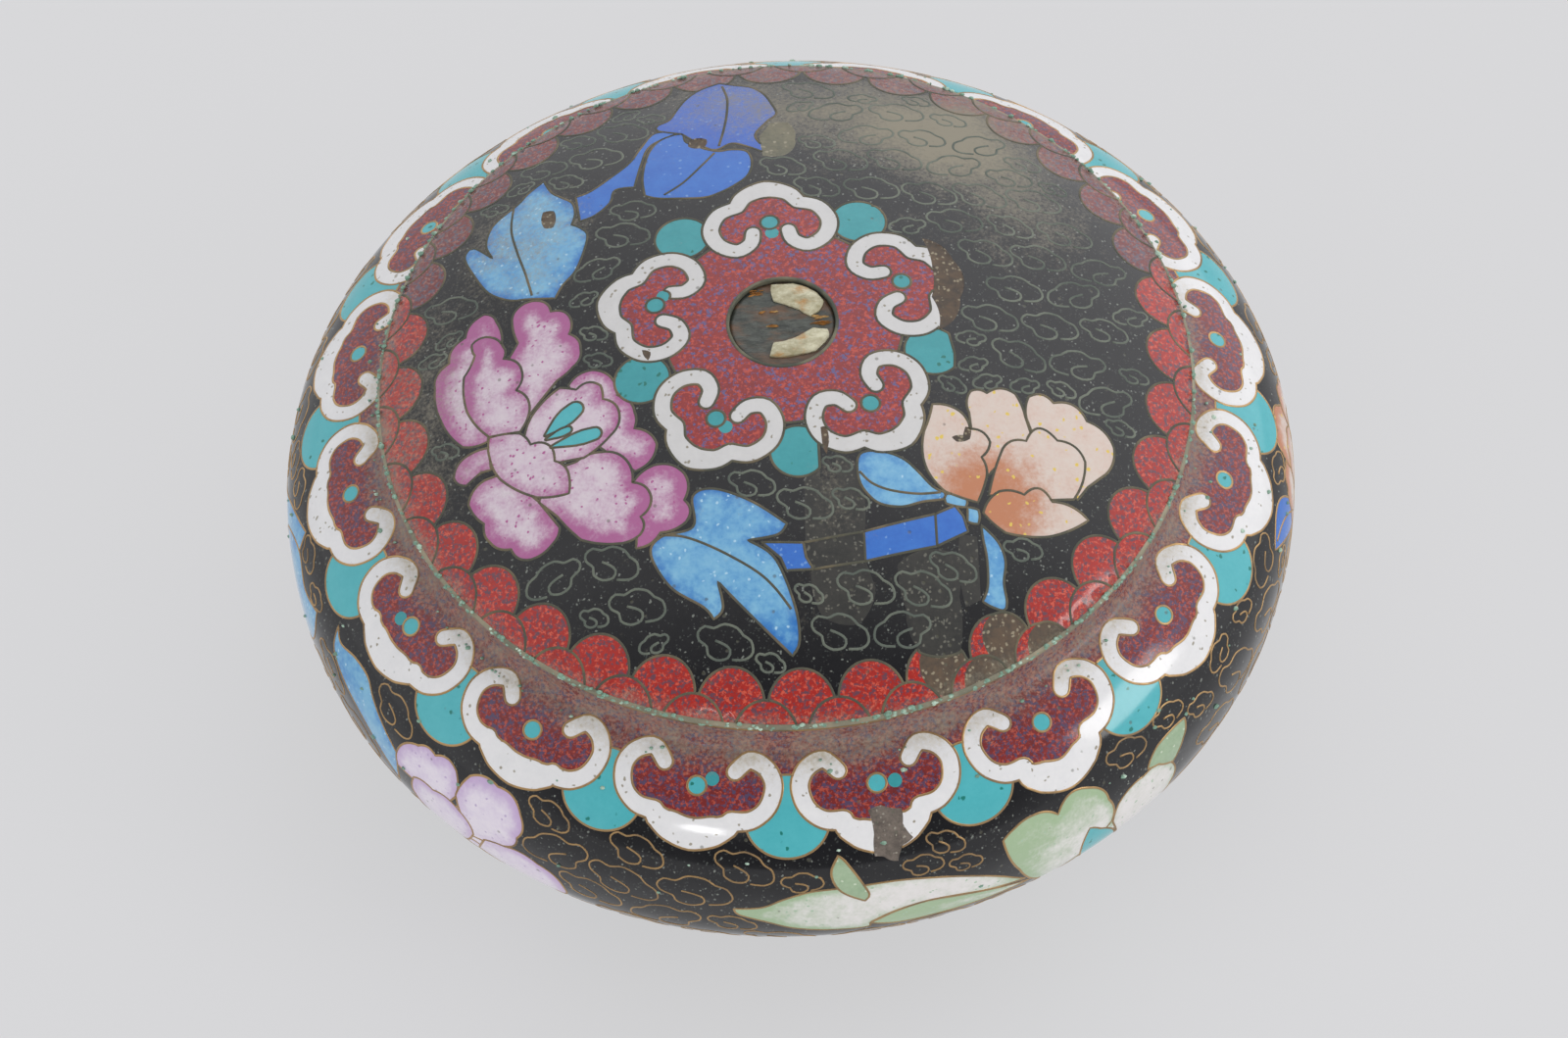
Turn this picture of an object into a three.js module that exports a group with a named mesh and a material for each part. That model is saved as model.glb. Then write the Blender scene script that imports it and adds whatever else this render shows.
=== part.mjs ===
// A round cloisonne box with a domed lift-off lid, in millimetres, +Z up.
// The origin is the centre of the foot ring's underside, and the Z axis is the box's axis.
import * as THREE from "three";

// Driving dimensions of the box.
const BODY_RADIUS = 55; // widest, at the equator
const FOOT_HEIGHT = 3;
const WALL = 2.4; // copper with the enamel on both faces
const SEGMENTS = 64; // facets round every turned piece

// The body's outline: a superellipse above the equator and another below it.
const SHOULDER_RISE = 19.4;
const SHOULDER_POWER = 2.45;
const BELLY_DROP = 19.6;
const BELLY_POWER = 2.75;

// The foot ring, soldered under the base.
const FOOT_OUTER = 31;
const FOOT_INNER = 28.4;
const FOOT_FLARE = 0.6; // how far the foot's edge stands out at the ground
const FOOT_EDGE = 0.5; // chamfer at the ground

// The neck, a short wall between the shoulder and the mouth.
const NECK_RADIUS = 43.2;
const NECK_FILLET = 1.8; // hollow curve where the neck meets the shoulder
const MOUTH_ABOVE_EQUATOR = 16.4;

// The rings of bare metal that meet where the box opens.
const MOUTH_RING_HEIGHT = 0.75;
const LID_RING_RADIUS = 43.75;
const LID_RING_HEIGHT = 0.9;
const FLANGE_WALL = 0.8; // the lid ring's inner flange, which drops into the mouth
const FLANGE_DEPTH = 3.6;
const FLANGE_PLAY = 0.35; // gap all round between the flange and the mouth

// The lid's dome.
const LID_RADIUS = 43.4;
const LID_RISE = 10.9;
const DOME_POWER = 2.25;
const DOME_ROUNDING = 0.87;
const LID_WALL = 2.2;

// The setting on top, whose stone has broken away.
const SEAT_RADIUS = 5.6;
const SEAT_DEPTH = 0.9;
const COLLET_WALL = 0.35;
const COLLET_PROUD = 0.12; // how far the collet stands above the enamel
const CEMENT_PLAY = 0.05;
const CEMENT_THICKNESS = 0.45;
const CEMENT_SIDES = 24;
const FLAKE_THICKNESS = 0.35;
const FLAKE_INSET = 0.5; // from the seat's wall to the flakes' outer edge
const FLAKE_STEPS = 7;

// Heights that follow from the sizes above.
const superellipse = (share, power) => Math.pow(1 - Math.pow(share, power), 1 / power);
const EQUATOR_Z = FOOT_HEIGHT + BELLY_DROP * superellipse(FOOT_OUTER / BODY_RADIUS, BELLY_POWER);
const MOUTH_Z = EQUATOR_Z + MOUTH_ABOVE_EQUATOR;
const SEAM_Z = MOUTH_Z + MOUTH_RING_HEIGHT; // the plane where the lid rests
const LID_Z = SEAM_Z + LID_RING_HEIGHT; // the lower edge of the enamelled dome
const MOUTH_RADIUS = NECK_RADIUS - WALL;
const FLOOR_Z = FOOT_HEIGHT + WALL;
const SEAT_Z = LID_Z + domeHeight(SEAT_RADIUS, LID_RADIUS, LID_RISE) - SEAT_DEPTH;

const enamel = (color) => new THREE.MeshStandardMaterial({ color, roughness: 0.2, metalness: 0 });
const metal = (color, roughness) => new THREE.MeshStandardMaterial({ color, roughness, metalness: 0.8 });
const mineral = (color, roughness) => new THREE.MeshStandardMaterial({ color, roughness, metalness: 0 });

const MATERIALS = {
  bodyEnamel: enamel(0x17161a),
  lidEnamel: enamel(0x3a2322),
  tarnishedBrass: metal(0x59685a, 0.7),
  brass: metal(0xa9854d, 0.45),
  cement: mineral(0x3d4140, 0.9),
  stone: mineral(0xbdbba2, 0.4),
};

const point = (r, z) => new THREE.Vector2(r, z);
const closed = (profile) => [...profile, profile[0].clone()];

// The list of what `make` returns for `steps` + 1 even shares from 0 to 1.
function sweep(steps, make) {
  return Array.from({ length: steps + 1 }, (_, i) => make(i / steps, i));
}

// The polar angle at which a superellipse of this width and power passes `radius`.
function superAngle(width, power, radius) {
  return Math.atan2(superellipse(radius / width, power), radius / width);
}

// A stretch of a quarter superellipse about the equator, between two polar angles in radians.
// A negative height hangs below the equator.
function superArc(width, height, power, from, to, steps) {
  return sweep(steps, (share) => {
    const angle = THREE.MathUtils.lerp(from, to, share);
    const across = Math.abs(Math.cos(angle));
    const up = Math.abs(Math.sin(angle));
    const reach = Math.pow(Math.pow(across, power) + Math.pow(up, power), -1 / power);
    return point(width * reach * across, EQUATOR_Z + height * reach * up);
  });
}

// The dome's height above its lower edge at a radius.
function domeHeight(radius, edge, rise) {
  const inside = Math.max(0, 1 - Math.pow(radius / edge, DOME_POWER));
  return rise * Math.pow(inside, DOME_ROUNDING);
}

// A dome's outline from its edge in to `inner`, with the points closer together near the edge.
function domeArc(edge, rise, inner, steps) {
  return sweep(steps, (share) => {
    const radius = inner + (edge - inner) * Math.cos((share * Math.PI) / 2);
    return point(radius, LID_Z + domeHeight(radius, edge, rise));
  });
}

// A round arc about a centre, between two angles in radians.
function roundArc(centre, radius, from, to, steps) {
  return sweep(steps, (share) => {
    const angle = THREE.MathUtils.lerp(from, to, share);
    return point(centre.x + radius * Math.cos(angle), centre.y + radius * Math.sin(angle));
  });
}

function named(name, geometry, material, z = 0) {
  const mesh = new THREE.Mesh(geometry, material);
  mesh.name = name;
  mesh.position.z = z;
  return mesh;
}

// A solid turned about the axis. Its profile goes round its section counter-clockwise.
function turned(name, profile, material) {
  const geometry = new THREE.LatheGeometry(profile, SEGMENTS);
  geometry.rotateX(Math.PI / 2);
  return named(name, geometry, material);
}

function footRing() {
  const profile = closed([
    point(FOOT_INNER, 0),
    point(FOOT_OUTER + FOOT_FLARE - FOOT_EDGE, 0),
    point(FOOT_OUTER + FOOT_FLARE, FOOT_EDGE),
    point(FOOT_OUTER, FOOT_HEIGHT),
    point(FOOT_INNER, FOOT_HEIGHT),
  ]);
  return turned("foot_ring", profile, MATERIALS.brass);
}

// The hollow body, from the underside of its base round to the floor inside.
function body() {
  const foot = superAngle(BODY_RADIUS, BELLY_POWER, FOOT_OUTER);
  const neck = superAngle(BODY_RADIUS, SHOULDER_POWER, NECK_RADIUS + NECK_FILLET);
  const shoulder = superArc(BODY_RADIUS, SHOULDER_RISE, SHOULDER_POWER, 0, neck, 6);
  const filletCentre = shoulder.pop().add(point(0, NECK_FILLET));

  const insideRadius = BODY_RADIUS - WALL;
  const insideDrop = BELLY_DROP - WALL;
  const mouth = superAngle(insideRadius, SHOULDER_POWER, MOUTH_RADIUS);
  const floorRadius = insideRadius * superellipse((EQUATOR_Z - FLOOR_Z) / insideDrop, BELLY_POWER);
  const floor = superAngle(insideRadius, BELLY_POWER, floorRadius);
  const profile = [
    point(0, FOOT_HEIGHT),
    ...superArc(BODY_RADIUS, -BELLY_DROP, BELLY_POWER, foot, 0, 8),
    ...shoulder.slice(1),
    ...roundArc(filletCentre, NECK_FILLET, -Math.PI / 2, -Math.PI, 3),
    point(NECK_RADIUS, MOUTH_Z),
    point(MOUTH_RADIUS, MOUTH_Z),
    ...superArc(insideRadius, SHOULDER_RISE - WALL, SHOULDER_POWER, mouth, 0, 4),
    ...superArc(insideRadius, -insideDrop, BELLY_POWER, 0, floor, 6).slice(1),
    point(0, FLOOR_Z),
  ];
  return turned("body", profile, MATERIALS.bodyEnamel);
}

// The metal edge of the body's mouth.
function mouthRing() {
  const profile = closed([
    point(MOUTH_RADIUS, MOUTH_Z),
    point(NECK_RADIUS, MOUTH_Z),
    point(NECK_RADIUS, SEAM_Z),
    point(MOUTH_RADIUS, SEAM_Z),
  ]);
  return turned("mouth_ring", profile, MATERIALS.brass);
}

// The ring that binds the lid's edge, with the flange that drops into the mouth.
function lidRing() {
  const flangeOuter = MOUTH_RADIUS - FLANGE_PLAY;
  const flangeInner = flangeOuter - FLANGE_WALL;
  const edge = LID_RING_HEIGHT / 2;
  const profile = closed([
    point(flangeInner, SEAM_Z - FLANGE_DEPTH),
    point(flangeOuter, SEAM_Z - FLANGE_DEPTH),
    point(flangeOuter, SEAM_Z),
    ...roundArc(point(LID_RING_RADIUS - edge, SEAM_Z + edge), edge, -Math.PI / 2, Math.PI / 2, 4),
    point(flangeInner, LID_Z),
  ]);
  return turned("lid_ring", profile, MATERIALS.tarnishedBrass);
}

// The domed lid, with the round seat sunk in its top.
function lid() {
  const seatWall = SEAT_RADIUS + COLLET_WALL;
  const insideEdge = LID_RADIUS - LID_WALL;
  const profile = [
    ...domeArc(insideEdge, LID_RISE - LID_WALL, 0, 7).reverse(),
    ...domeArc(LID_RADIUS, LID_RISE, seatWall, 9),
    point(seatWall, SEAT_Z),
    point(0, SEAT_Z),
  ];
  return turned("lid", profile, MATERIALS.lidEnamel);
}

// The low metal wall round the seat.
function knobCollet() {
  const outer = SEAT_RADIUS + COLLET_WALL;
  const top = LID_Z + domeHeight(outer, LID_RADIUS, LID_RISE) + COLLET_PROUD;
  const profile = closed([
    point(SEAT_RADIUS, SEAT_Z),
    point(outer, SEAT_Z),
    point(outer, top),
    point(SEAT_RADIUS, top),
  ]);
  return turned("knob_collet", profile, MATERIALS.tarnishedBrass);
}

// The old cement left in the seat.
function knobCement() {
  const radius = SEAT_RADIUS - CEMENT_PLAY;
  const geometry = new THREE.CylinderGeometry(radius, radius, CEMENT_THICKNESS, CEMENT_SIDES);
  geometry.rotateX(Math.PI / 2);
  return named("knob_cement", geometry, MATERIALS.cement, SEAT_Z + CEMENT_THICKNESS / 2);
}

// A flake of the lost stone, a crescent along the seat's wall between two angles in degrees.
// Its broken edge reaches in by about `width`.
function stoneFlake(name, from, to, width) {
  const outer = SEAT_RADIUS - FLAKE_INSET;
  const angleAt = (share) => THREE.MathUtils.degToRad(THREE.MathUtils.lerp(from, to, share));
  const along = (share, radius) => {
    const angle = angleAt(share);
    return point(radius * Math.cos(angle), radius * Math.sin(angle));
  };
  const edge = sweep(FLAKE_STEPS, (share) => along(share, outer));
  const broken = sweep(FLAKE_STEPS, (share, i) => {
    const jag = 1 + 0.15 * (i % 2) - 0.1 * (i % 3);
    return along(share, outer - width * jag * (0.15 + 0.85 * Math.sin(Math.PI * share)));
  });
  const shape = new THREE.Shape([...edge, ...broken.reverse()]);
  const geometry = new THREE.ExtrudeGeometry(shape, { depth: FLAKE_THICKNESS, bevelEnabled: false });
  return named(name, geometry, MATERIALS.stone, SEAT_Z + CEMENT_THICKNESS);
}

const base = new THREE.Group();
base.add(footRing(), body(), mouthRing());

const cover = new THREE.Group();
cover.add(lidRing(), lid(), knobCollet(), knobCement());
cover.add(stoneFlake("knob_flake_back", 8, 98, 3.4));
cover.add(stoneFlake("knob_flake_front", -112, -16, 2.3));

const box = new THREE.Group();
box.add(base, cover);

export default box;
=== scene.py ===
"""The looks of a round cloisonne box with a domed lift-off lid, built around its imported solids.

Sizes are millimetres up to the point where a mesh is made, and meshes are in metres. Each enamelled
surface is laid out flat, its cells are cut against each other there, and wires follow their borders.
"""
import logging
import math
from dataclasses import dataclass
from enum import Enum
from functools import partial
from itertools import product
from typing import Callable, ClassVar, Iterable, Optional, Sequence

import bpy
import numpy as np
from mathutils import Matrix, Vector, noise
from mathutils.bvhtree import BVHTree
from mathutils.geometry import delaunay_2d_cdt


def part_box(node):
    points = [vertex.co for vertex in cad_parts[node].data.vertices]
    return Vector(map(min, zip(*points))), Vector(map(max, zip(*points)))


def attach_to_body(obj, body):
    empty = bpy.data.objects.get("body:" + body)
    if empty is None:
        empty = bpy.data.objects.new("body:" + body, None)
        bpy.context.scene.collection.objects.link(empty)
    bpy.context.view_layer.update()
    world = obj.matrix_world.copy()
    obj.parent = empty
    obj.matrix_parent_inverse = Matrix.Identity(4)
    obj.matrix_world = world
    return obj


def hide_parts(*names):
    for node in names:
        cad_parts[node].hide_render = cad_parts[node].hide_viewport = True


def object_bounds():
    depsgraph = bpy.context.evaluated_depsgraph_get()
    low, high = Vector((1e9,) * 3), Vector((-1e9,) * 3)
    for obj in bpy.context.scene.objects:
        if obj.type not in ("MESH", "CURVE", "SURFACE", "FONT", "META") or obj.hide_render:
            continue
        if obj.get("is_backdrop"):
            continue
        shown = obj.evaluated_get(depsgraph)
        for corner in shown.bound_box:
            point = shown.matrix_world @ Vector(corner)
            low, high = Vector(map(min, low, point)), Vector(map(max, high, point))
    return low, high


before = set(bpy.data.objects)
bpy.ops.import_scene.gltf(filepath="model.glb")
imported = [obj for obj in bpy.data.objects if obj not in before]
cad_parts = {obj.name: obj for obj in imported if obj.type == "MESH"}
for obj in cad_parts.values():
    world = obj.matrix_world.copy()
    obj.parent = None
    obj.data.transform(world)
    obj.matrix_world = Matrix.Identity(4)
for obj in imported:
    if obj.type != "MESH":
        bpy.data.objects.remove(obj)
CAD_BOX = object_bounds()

LOG = logging.getLogger("cloisonne_box")
GROUND = "ground"  # the cloison of the black enamel between the figures
PATCH = "patch"  # the cloison of fillings and chips, which break through the wires
MM = 0.001
BODY = "root"
ARC_STEP = 0.4  # length of one straight step along a curved outline
COARSE_STEP = 0.9  # the same along the wide rims
FINE_STEP = 0.3  # the same round the beads
GRID_OFFSET = (0.03, 0.02)  # keeps a cell's own grid off its outline
RNG_SEED = 7

Colour = tuple[float, float, float, float]
Points = np.ndarray  # rows of flat or solid positions


def srgb(red: int, green: int, blue: int) -> Colour:
    """Turns a display colour into the linear colour that shaders use.

    Args:
        red, green, blue: Display values from 0 to 255.

    Returns:
        The linear colour with full opacity.
    """
    def linear(value: float) -> float:
        """One channel, from display to linear."""
        share = value / 255
        return share / 12.92 if share <= 0.04045 else ((share + 0.055) / 1.055) ** 2.4

    return (linear(red), linear(green), linear(blue), 1.0)


def smoothstep(low: float, high: float, value: np.ndarray) -> np.ndarray:
    """A smooth rise from 0 at `low` to 1 at `high`."""
    share = np.clip((value - low) / (high - low), 0, 1)
    return share * share * (3 - 2 * share)


# ---------------------------------------------------------------------------------------------
# Shader building
# ---------------------------------------------------------------------------------------------


class Value:
    """A shader value, which adds, subtracts and multiplies through Math nodes."""

    def __init__(self, tree: "Tree", socket: bpy.types.NodeSocket) -> None:
        """Holds an output socket of `tree`."""
        self.tree, self.socket = tree, socket

    def __add__(self, other: object) -> "Value":
        """The sum."""
        return self.tree.math("ADD", self, other)

    def __sub__(self, other: object) -> "Value":
        """The difference."""
        return self.tree.math("SUBTRACT", self, other)

    def __mul__(self, other: object) -> "Value":
        """The product."""
        return self.tree.math("MULTIPLY", self, other)


class Tree:
    """A node tree with short ways to add, set and link its nodes."""

    def __init__(self, tree: bpy.types.NodeTree) -> None:
        """Wraps `tree` and empties it."""
        self.tree = tree
        tree.nodes.clear()

    def add(self, kind: str, **settings: object) -> bpy.types.Node:
        """Adds a node of one kind and sets its named settings."""
        node = self.tree.nodes.new(kind)
        for name, value in settings.items():
            setattr(node, name, value)
        return node

    def feed(self, socket: bpy.types.NodeSocket, value: object) -> None:
        """Links a shader value or a socket to `socket`, or stores a plain number or colour there."""
        if isinstance(value, Value):
            value = value.socket
        if isinstance(value, bpy.types.NodeSocket):
            self.tree.links.new(value, socket)
        else:
            socket.default_value = value

    def math(self, operation: str, first: object, second: object, clamp: bool = False) -> Value:
        """A Math node's result for two values."""
        node = self.add("ShaderNodeMath", operation=operation, use_clamp=clamp)
        self.feed(node.inputs[0], first)
        self.feed(node.inputs[1], second)
        return Value(self, node.outputs[0])

    def vector(self, operation: str, first: object, second: object) -> Value:
        """A Vector Math node's vector, or its number for a dot product."""
        node = self.add("ShaderNodeVectorMath", operation=operation)
        self.feed(node.inputs[0], first)
        self.feed(node.inputs[1], second)
        return Value(self, node.outputs["Value" if operation == "DOT_PRODUCT" else "Vector"])

    def spread(self, value: object, low: float, high: float) -> Value:
        """Maps `value` smoothly from the span low..high to 0..1."""
        node = self.add("ShaderNodeMapRange", interpolation_type="SMOOTHSTEP")
        for index, item in enumerate((value, low, high, 0.0, 1.0)):
            self.feed(node.inputs[index], item)
        return Value(self, node.outputs[0])

    def mix(self, share: object, first: object, second: object) -> Value:
        """A colour between two colours."""
        node = self.add("ShaderNodeMix", data_type="RGBA")
        self.feed(node.inputs[0], share)
        self.feed(node.inputs[6], first)
        self.feed(node.inputs[7], second)
        return Value(self, node.outputs[2])

    def noise(self, vector: object, scale: object, detail: float, rough: float = 0.55) -> Value:
        """A noise value at a scale in waves a metre."""
        node = self.add("ShaderNodeTexNoise")
        for label, item in (("Vector", vector), ("Scale", scale), ("Detail", detail), ("Roughness", rough)):
            self.feed(node.inputs[label], item)
        return Value(self, node.outputs["Fac"])

    def spots(self, vector: object, scale: object, channel: int, share: object, edge: float,
              core: float) -> Value:
        """Soft round spots in some cells of a cell pattern.

        Args:
            vector: The position.
            scale: The pattern's scale in cells a metre.
            channel: Which of the cells' random numbers picks them.
            share: The share of the cells that hold a spot.
            edge: The distance, in cells, where a spot ends.
            core: The distance where it is full.

        Returns:
            The mask of the spots.
        """
        cells = self.add("ShaderNodeTexVoronoi")
        self.feed(cells.inputs["Vector"], vector)
        self.feed(cells.inputs["Scale"], scale)
        pick = self.add("ShaderNodeSeparateXYZ")
        self.feed(pick.inputs[0], cells.outputs["Color"])
        chosen = self.math("LESS_THAN", pick.outputs[channel], share)
        return chosen * self.spread(cells.outputs["Distance"], edge, core)

    def attribute(self, name: str) -> Value:
        """The value of a mesh attribute."""
        return Value(self, self.add("ShaderNodeAttribute", attribute_name=name).outputs["Fac"])

    def place(self, kind: str = "Object") -> Value:
        """The point's position in the box's own frame, or another kind of texture coordinate."""
        return Value(self, self.add("ShaderNodeTexCoord").outputs[kind])

    def bump(self, shader: bpy.types.Node, height: object, strength: float, depth: float) -> None:
        """Roughens a shader's normal by a height, whose depth is in millimetres."""
        node = self.add("ShaderNodeBump")
        for label, item in (("Strength", strength), ("Distance", depth * MM), ("Height", height)):
            self.feed(node.inputs[label], item)
        self.feed(shader.inputs["Normal"], node.outputs[0])


@dataclass(frozen=True)
class Effects:
    """The shader node groups that the finishes share, placed in one material."""

    tree: Tree
    place: Value  # the position that they read
    BUILT: ClassVar[dict[str, bpy.types.NodeTree]] = {}

    @classmethod
    def _group(cls, name: str, fill: Callable[..., dict[str, Value]],
               labels: Iterable[str]) -> bpy.types.NodeTree:
        """Builds a group with named sockets, or returns the one that is already there.

        Args:
            name: The group's name.
            fill: Adds its nodes, given its tree and its inputs, and returns its outputs by name.
            labels: The names of its number inputs, besides the position.

        Returns:
            The group's node tree.
        """
        if name in cls.BUILT:
            return cls.BUILT[name]
        group = bpy.data.node_groups.new(name, "ShaderNodeTree")
        group.interface.new_socket("Vector", in_out="INPUT", socket_type="NodeSocketVector")
        for label in labels:
            group.interface.new_socket(label.capitalize(), in_out="INPUT", socket_type="NodeSocketFloat")
        inner = Tree(group)
        start = inner.add("NodeGroupInput").outputs
        wanted = fill(inner, *(Value(inner, start[label.capitalize()]) for label in ("Vector", *labels)))
        for label in wanted:
            group.interface.new_socket(label, in_out="OUTPUT", socket_type="NodeSocketFloat")
        end = inner.add("NodeGroupOutput").inputs
        for label, value in wanted.items():
            inner.feed(end[label], value)
        cls.BUILT[name] = group
        return group

    def _use(self, name: str, fill: Callable[..., dict[str, Value]], **values: object) -> dict[str, Value]:
        """Places a group in the material and returns its outputs by name."""
        node = self.tree.add("ShaderNodeGroup", node_tree=self._group(name, fill, values))
        self.tree.feed(node.inputs["Vector"], self.place)
        for label, value in values.items():
            self.tree.feed(node.inputs[label.capitalize()], value)
        return {socket.name: Value(self.tree, socket) for socket in node.outputs}

    def flecks(self, size: float, amount: float) -> Value:
        """Scattered grains of another colour.

        Args:
            size: The grid of the grains, in metres.
            amount: The share of the grid's cells that hold a grain.

        Returns:
            The mask of the grains.
        """
        def fill(inner: Tree, vector: Value, size: Value, amount: Value) -> dict[str, Value]:
            """Puts spots in some cells of a slightly warped cell pattern."""
            nudge = inner.add("ShaderNodeCombineXYZ")
            warp = inner.noise(vector, scale=900.0, detail=2.0) * 0.0006
            for axis in range(3):
                inner.feed(nudge.inputs[axis], warp)
            scale = inner.math("DIVIDE", 1.0, size)
            warped = inner.vector("ADD", vector, nudge.outputs[0])
            return {"Mask": inner.spots(warped, scale, 0, amount, edge=0.62, core=0.34)}

        return self._use("flecks", fill, size=size, amount=amount)["Mask"]

    def grains(self, size: float, amount: float) -> Value:
        """Crowded irregular grains, as where enamels of two colours were packed mixed.

        Args:
            size: The spacing of the grains, in metres.
            amount: Raises the share that is covered, from about a third at 0.

        Returns:
            The mask of the grains.
        """
        def fill(inner: Tree, vector: Value, size: Value, amount: Value) -> dict[str, Value]:
            """Cuts a rough noise near its middle."""
            noise_value = inner.noise(vector, inner.math("DIVIDE", 1.0, size), detail=2.5, rough=0.72)
            return {"Mask": inner.spread(noise_value + amount, 0.5, 0.6)}

        return self._use("grains", fill, size=size, amount=amount)["Mask"]

    def mottle(self, size: float, contrast: float) -> Value:
        """Soft patches, as where powdered enamel melted unevenly, as a mask from 0 to 1."""
        def fill(inner: Tree, vector: Value, size: Value, contrast: Value) -> dict[str, Value]:
            """Adds fine noise to broad noise and stretches it about its middle."""
            scale = inner.math("DIVIDE", 1.0, size)
            broad = inner.noise(vector, scale, detail=4.0, rough=0.6)
            fine = inner.noise(vector, scale * 4.7, detail=2.0, rough=0.6)
            middle = (broad * 0.65 + fine * 0.35 - 0.5) * contrast
            return {"Mask": inner.math("ADD", middle, 0.5, clamp=True)}

        return self._use("mottle", fill, size=size, contrast=contrast)["Mask"]

    def polish(self, pits: float) -> tuple[Value, Value]:
        """The ground and polished surface, with slow ripples and pinholes.

        Args:
            pits: The share of the pinhole grid that is open.

        Returns:
            The height and the mask of the pinholes.
        """
        def fill(inner: Tree, vector: Value, pits: Value) -> dict[str, Value]:
            """Sums ripples of two sizes and sinks the pinholes."""
            slow = inner.noise(vector, scale=130.0, detail=1.5)
            quick = inner.noise(vector, scale=700.0, detail=2.0) * 0.12
            hole = inner.spots(vector, 1150.0, 1, pits, edge=0.3, core=0.14)
            return {"Mask": hole, "Height": slow + quick - hole}

        out = self._use("polish", fill, pits=pits)
        return out["Height"], out["Mask"]

    def grime_and_sheen(self, amount: Value) -> Value:
        """Dust and soiling that settles in patches and grains, and on the lid's back right a painted
        reflection, as a mask, for a local amount from 0 to 1.
        """
        def fill(inner: Tree, vector: Value, amount: Value) -> dict[str, Value]:
            """Breaks the amount up with blotches, then with grains."""
            blotch = inner.noise(vector, scale=260.0, detail=6.0, rough=0.68)
            grain = inner.noise(vector, scale=2600.0, detail=3.0, rough=0.7)
            level = blotch * 0.8 + grain * 0.9 - 1.26 + amount
            return {"Mask": inner.spread(level, -0.2, 0.55) * inner.spread(amount, 0.0, 0.15)}

        return self._use("grime_and_sheen", fill, amount=amount)["Mask"]


def surface(name: str) -> tuple[Tree, bpy.types.Node, bpy.types.Material]:
    """A new material with its tree and its Principled shader, already wired to the output."""
    material = bpy.data.materials.new(name)
    material.use_nodes = True
    tree = Tree(material.node_tree)
    shader = tree.add("ShaderNodeBsdfPrincipled")
    output = tree.add("ShaderNodeOutputMaterial")
    tree.feed(output.inputs["Surface"], shader.outputs[0])
    return tree, shader, material


@dataclass(frozen=True)
class GlazeFinish:
    """One enamel colour, as fired, ground and worn."""

    base: Colour
    mottled: Colour
    fleck: Colour
    flecks: float
    fleck_size: float
    second_fleck: Colour = srgb(60, 60, 60)
    second_flecks: float = 0.0
    packed: bool = False  # mixed grains instead of scattered flecks
    tinted: Optional[Colour] = None
    mottle_size: float = 2.2
    contrast: float = 3.0
    roughness: float = 0.12
    pits: float = 0.03
    # The colour of soiling, which on the lid's black also paints a reflection.
    grime_and_sheen_colour: Colour = srgb(136, 130, 114)
    pinhole: Colour = srgb(84, 84, 70)

    def material(self, name: str) -> bpy.types.Material:
        """Builds the enamel's material.

        Args:
            name: The material's name.

        Returns:
            A glossy material whose colour varies with mottling, flecks, tint, pinholes, soiling and, on the
            lid, a painted reflection.
        """
        tree, shader, material = surface(name)
        place = tree.place()
        effects = Effects(tree, place)
        mottle = effects.mottle(self.mottle_size * MM, self.contrast)
        colour = tree.mix(mottle, self.base, self.mottled)
        if self.tinted:
            depth = tree.attribute("tint") + mottle * 0.45 - 0.22
            colour = tree.mix(tree.spread(depth, 0.0, 1.0), colour, self.tinted)
        scatter = effects.grains if self.packed else effects.flecks
        if self.flecks:
            colour = tree.mix(scatter(self.fleck_size * MM, self.flecks), colour, self.fleck)
        if self.second_flecks:
            more = scatter(self.fleck_size * 0.77 * MM, self.second_flecks)
            colour = tree.mix(more, colour, self.second_fleck)
        height, holes = effects.polish(self.pits)
        colour = tree.mix(holes * 0.55, colour, self.pinhole)
        # This mask mixes in the soiling colour, which on the lid's back right is a painted reflection.
        grime_and_sheen_mask = effects.grime_and_sheen(tree.attribute("grime_and_sheen"))
        tree.feed(shader.inputs["Base Color"], tree.mix(grime_and_sheen_mask, colour, self.grime_and_sheen_colour))
        worn = tree.noise(place, scale=420.0, detail=4.0) * 0.1 + (self.roughness - 0.05)
        tree.feed(shader.inputs["Roughness"], tree.math("ADD", grime_and_sheen_mask * 0.6, worn, clamp=True))
        tree.bump(shader, height, strength=0.35, depth=0.12)
        return material


@dataclass(frozen=True)
class MetalFinish:
    """Wire or ring metal with its tarnish and its green corrosion."""

    bright: Colour
    tarnish: Colour
    crust: Colour
    tarnished: float
    crusted: float
    roughness: float
    metallic: float = 0.85

    def material(self, name: str) -> bpy.types.Material:
        """Builds the metal's material: bright metal under patches of tarnish and crust."""
        tree, shader, material = surface(name)
        place = tree.place()
        patches = tree.noise(place, scale=210.0, detail=5.0, rough=0.65)
        tarnish = tree.spread(patches + (self.tarnished - 0.5), 0.36, 0.64)
        lumps = tree.noise(place, scale=640.0, detail=4.0, rough=0.7)
        crust = tree.spread(lumps + (self.crusted - 0.5), 0.42, 0.6)
        metal = tree.mix(tarnish, self.bright, self.tarnish)
        tree.feed(shader.inputs["Base Color"], tree.mix(crust, metal, self.crust))
        dulled = tarnish * 0.25 + self.roughness
        tree.feed(shader.inputs["Roughness"], tree.math("ADD", dulled, crust * 0.3, clamp=True))
        bare = tree.math("SUBTRACT", self.metallic, crust * self.metallic)
        tree.feed(shader.inputs["Metallic"], bare * tree.math("SUBTRACT", 1.0, tarnish * 0.45))
        tree.bump(shader, lumps + crust, strength=0.5, depth=0.06)
        return material


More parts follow.
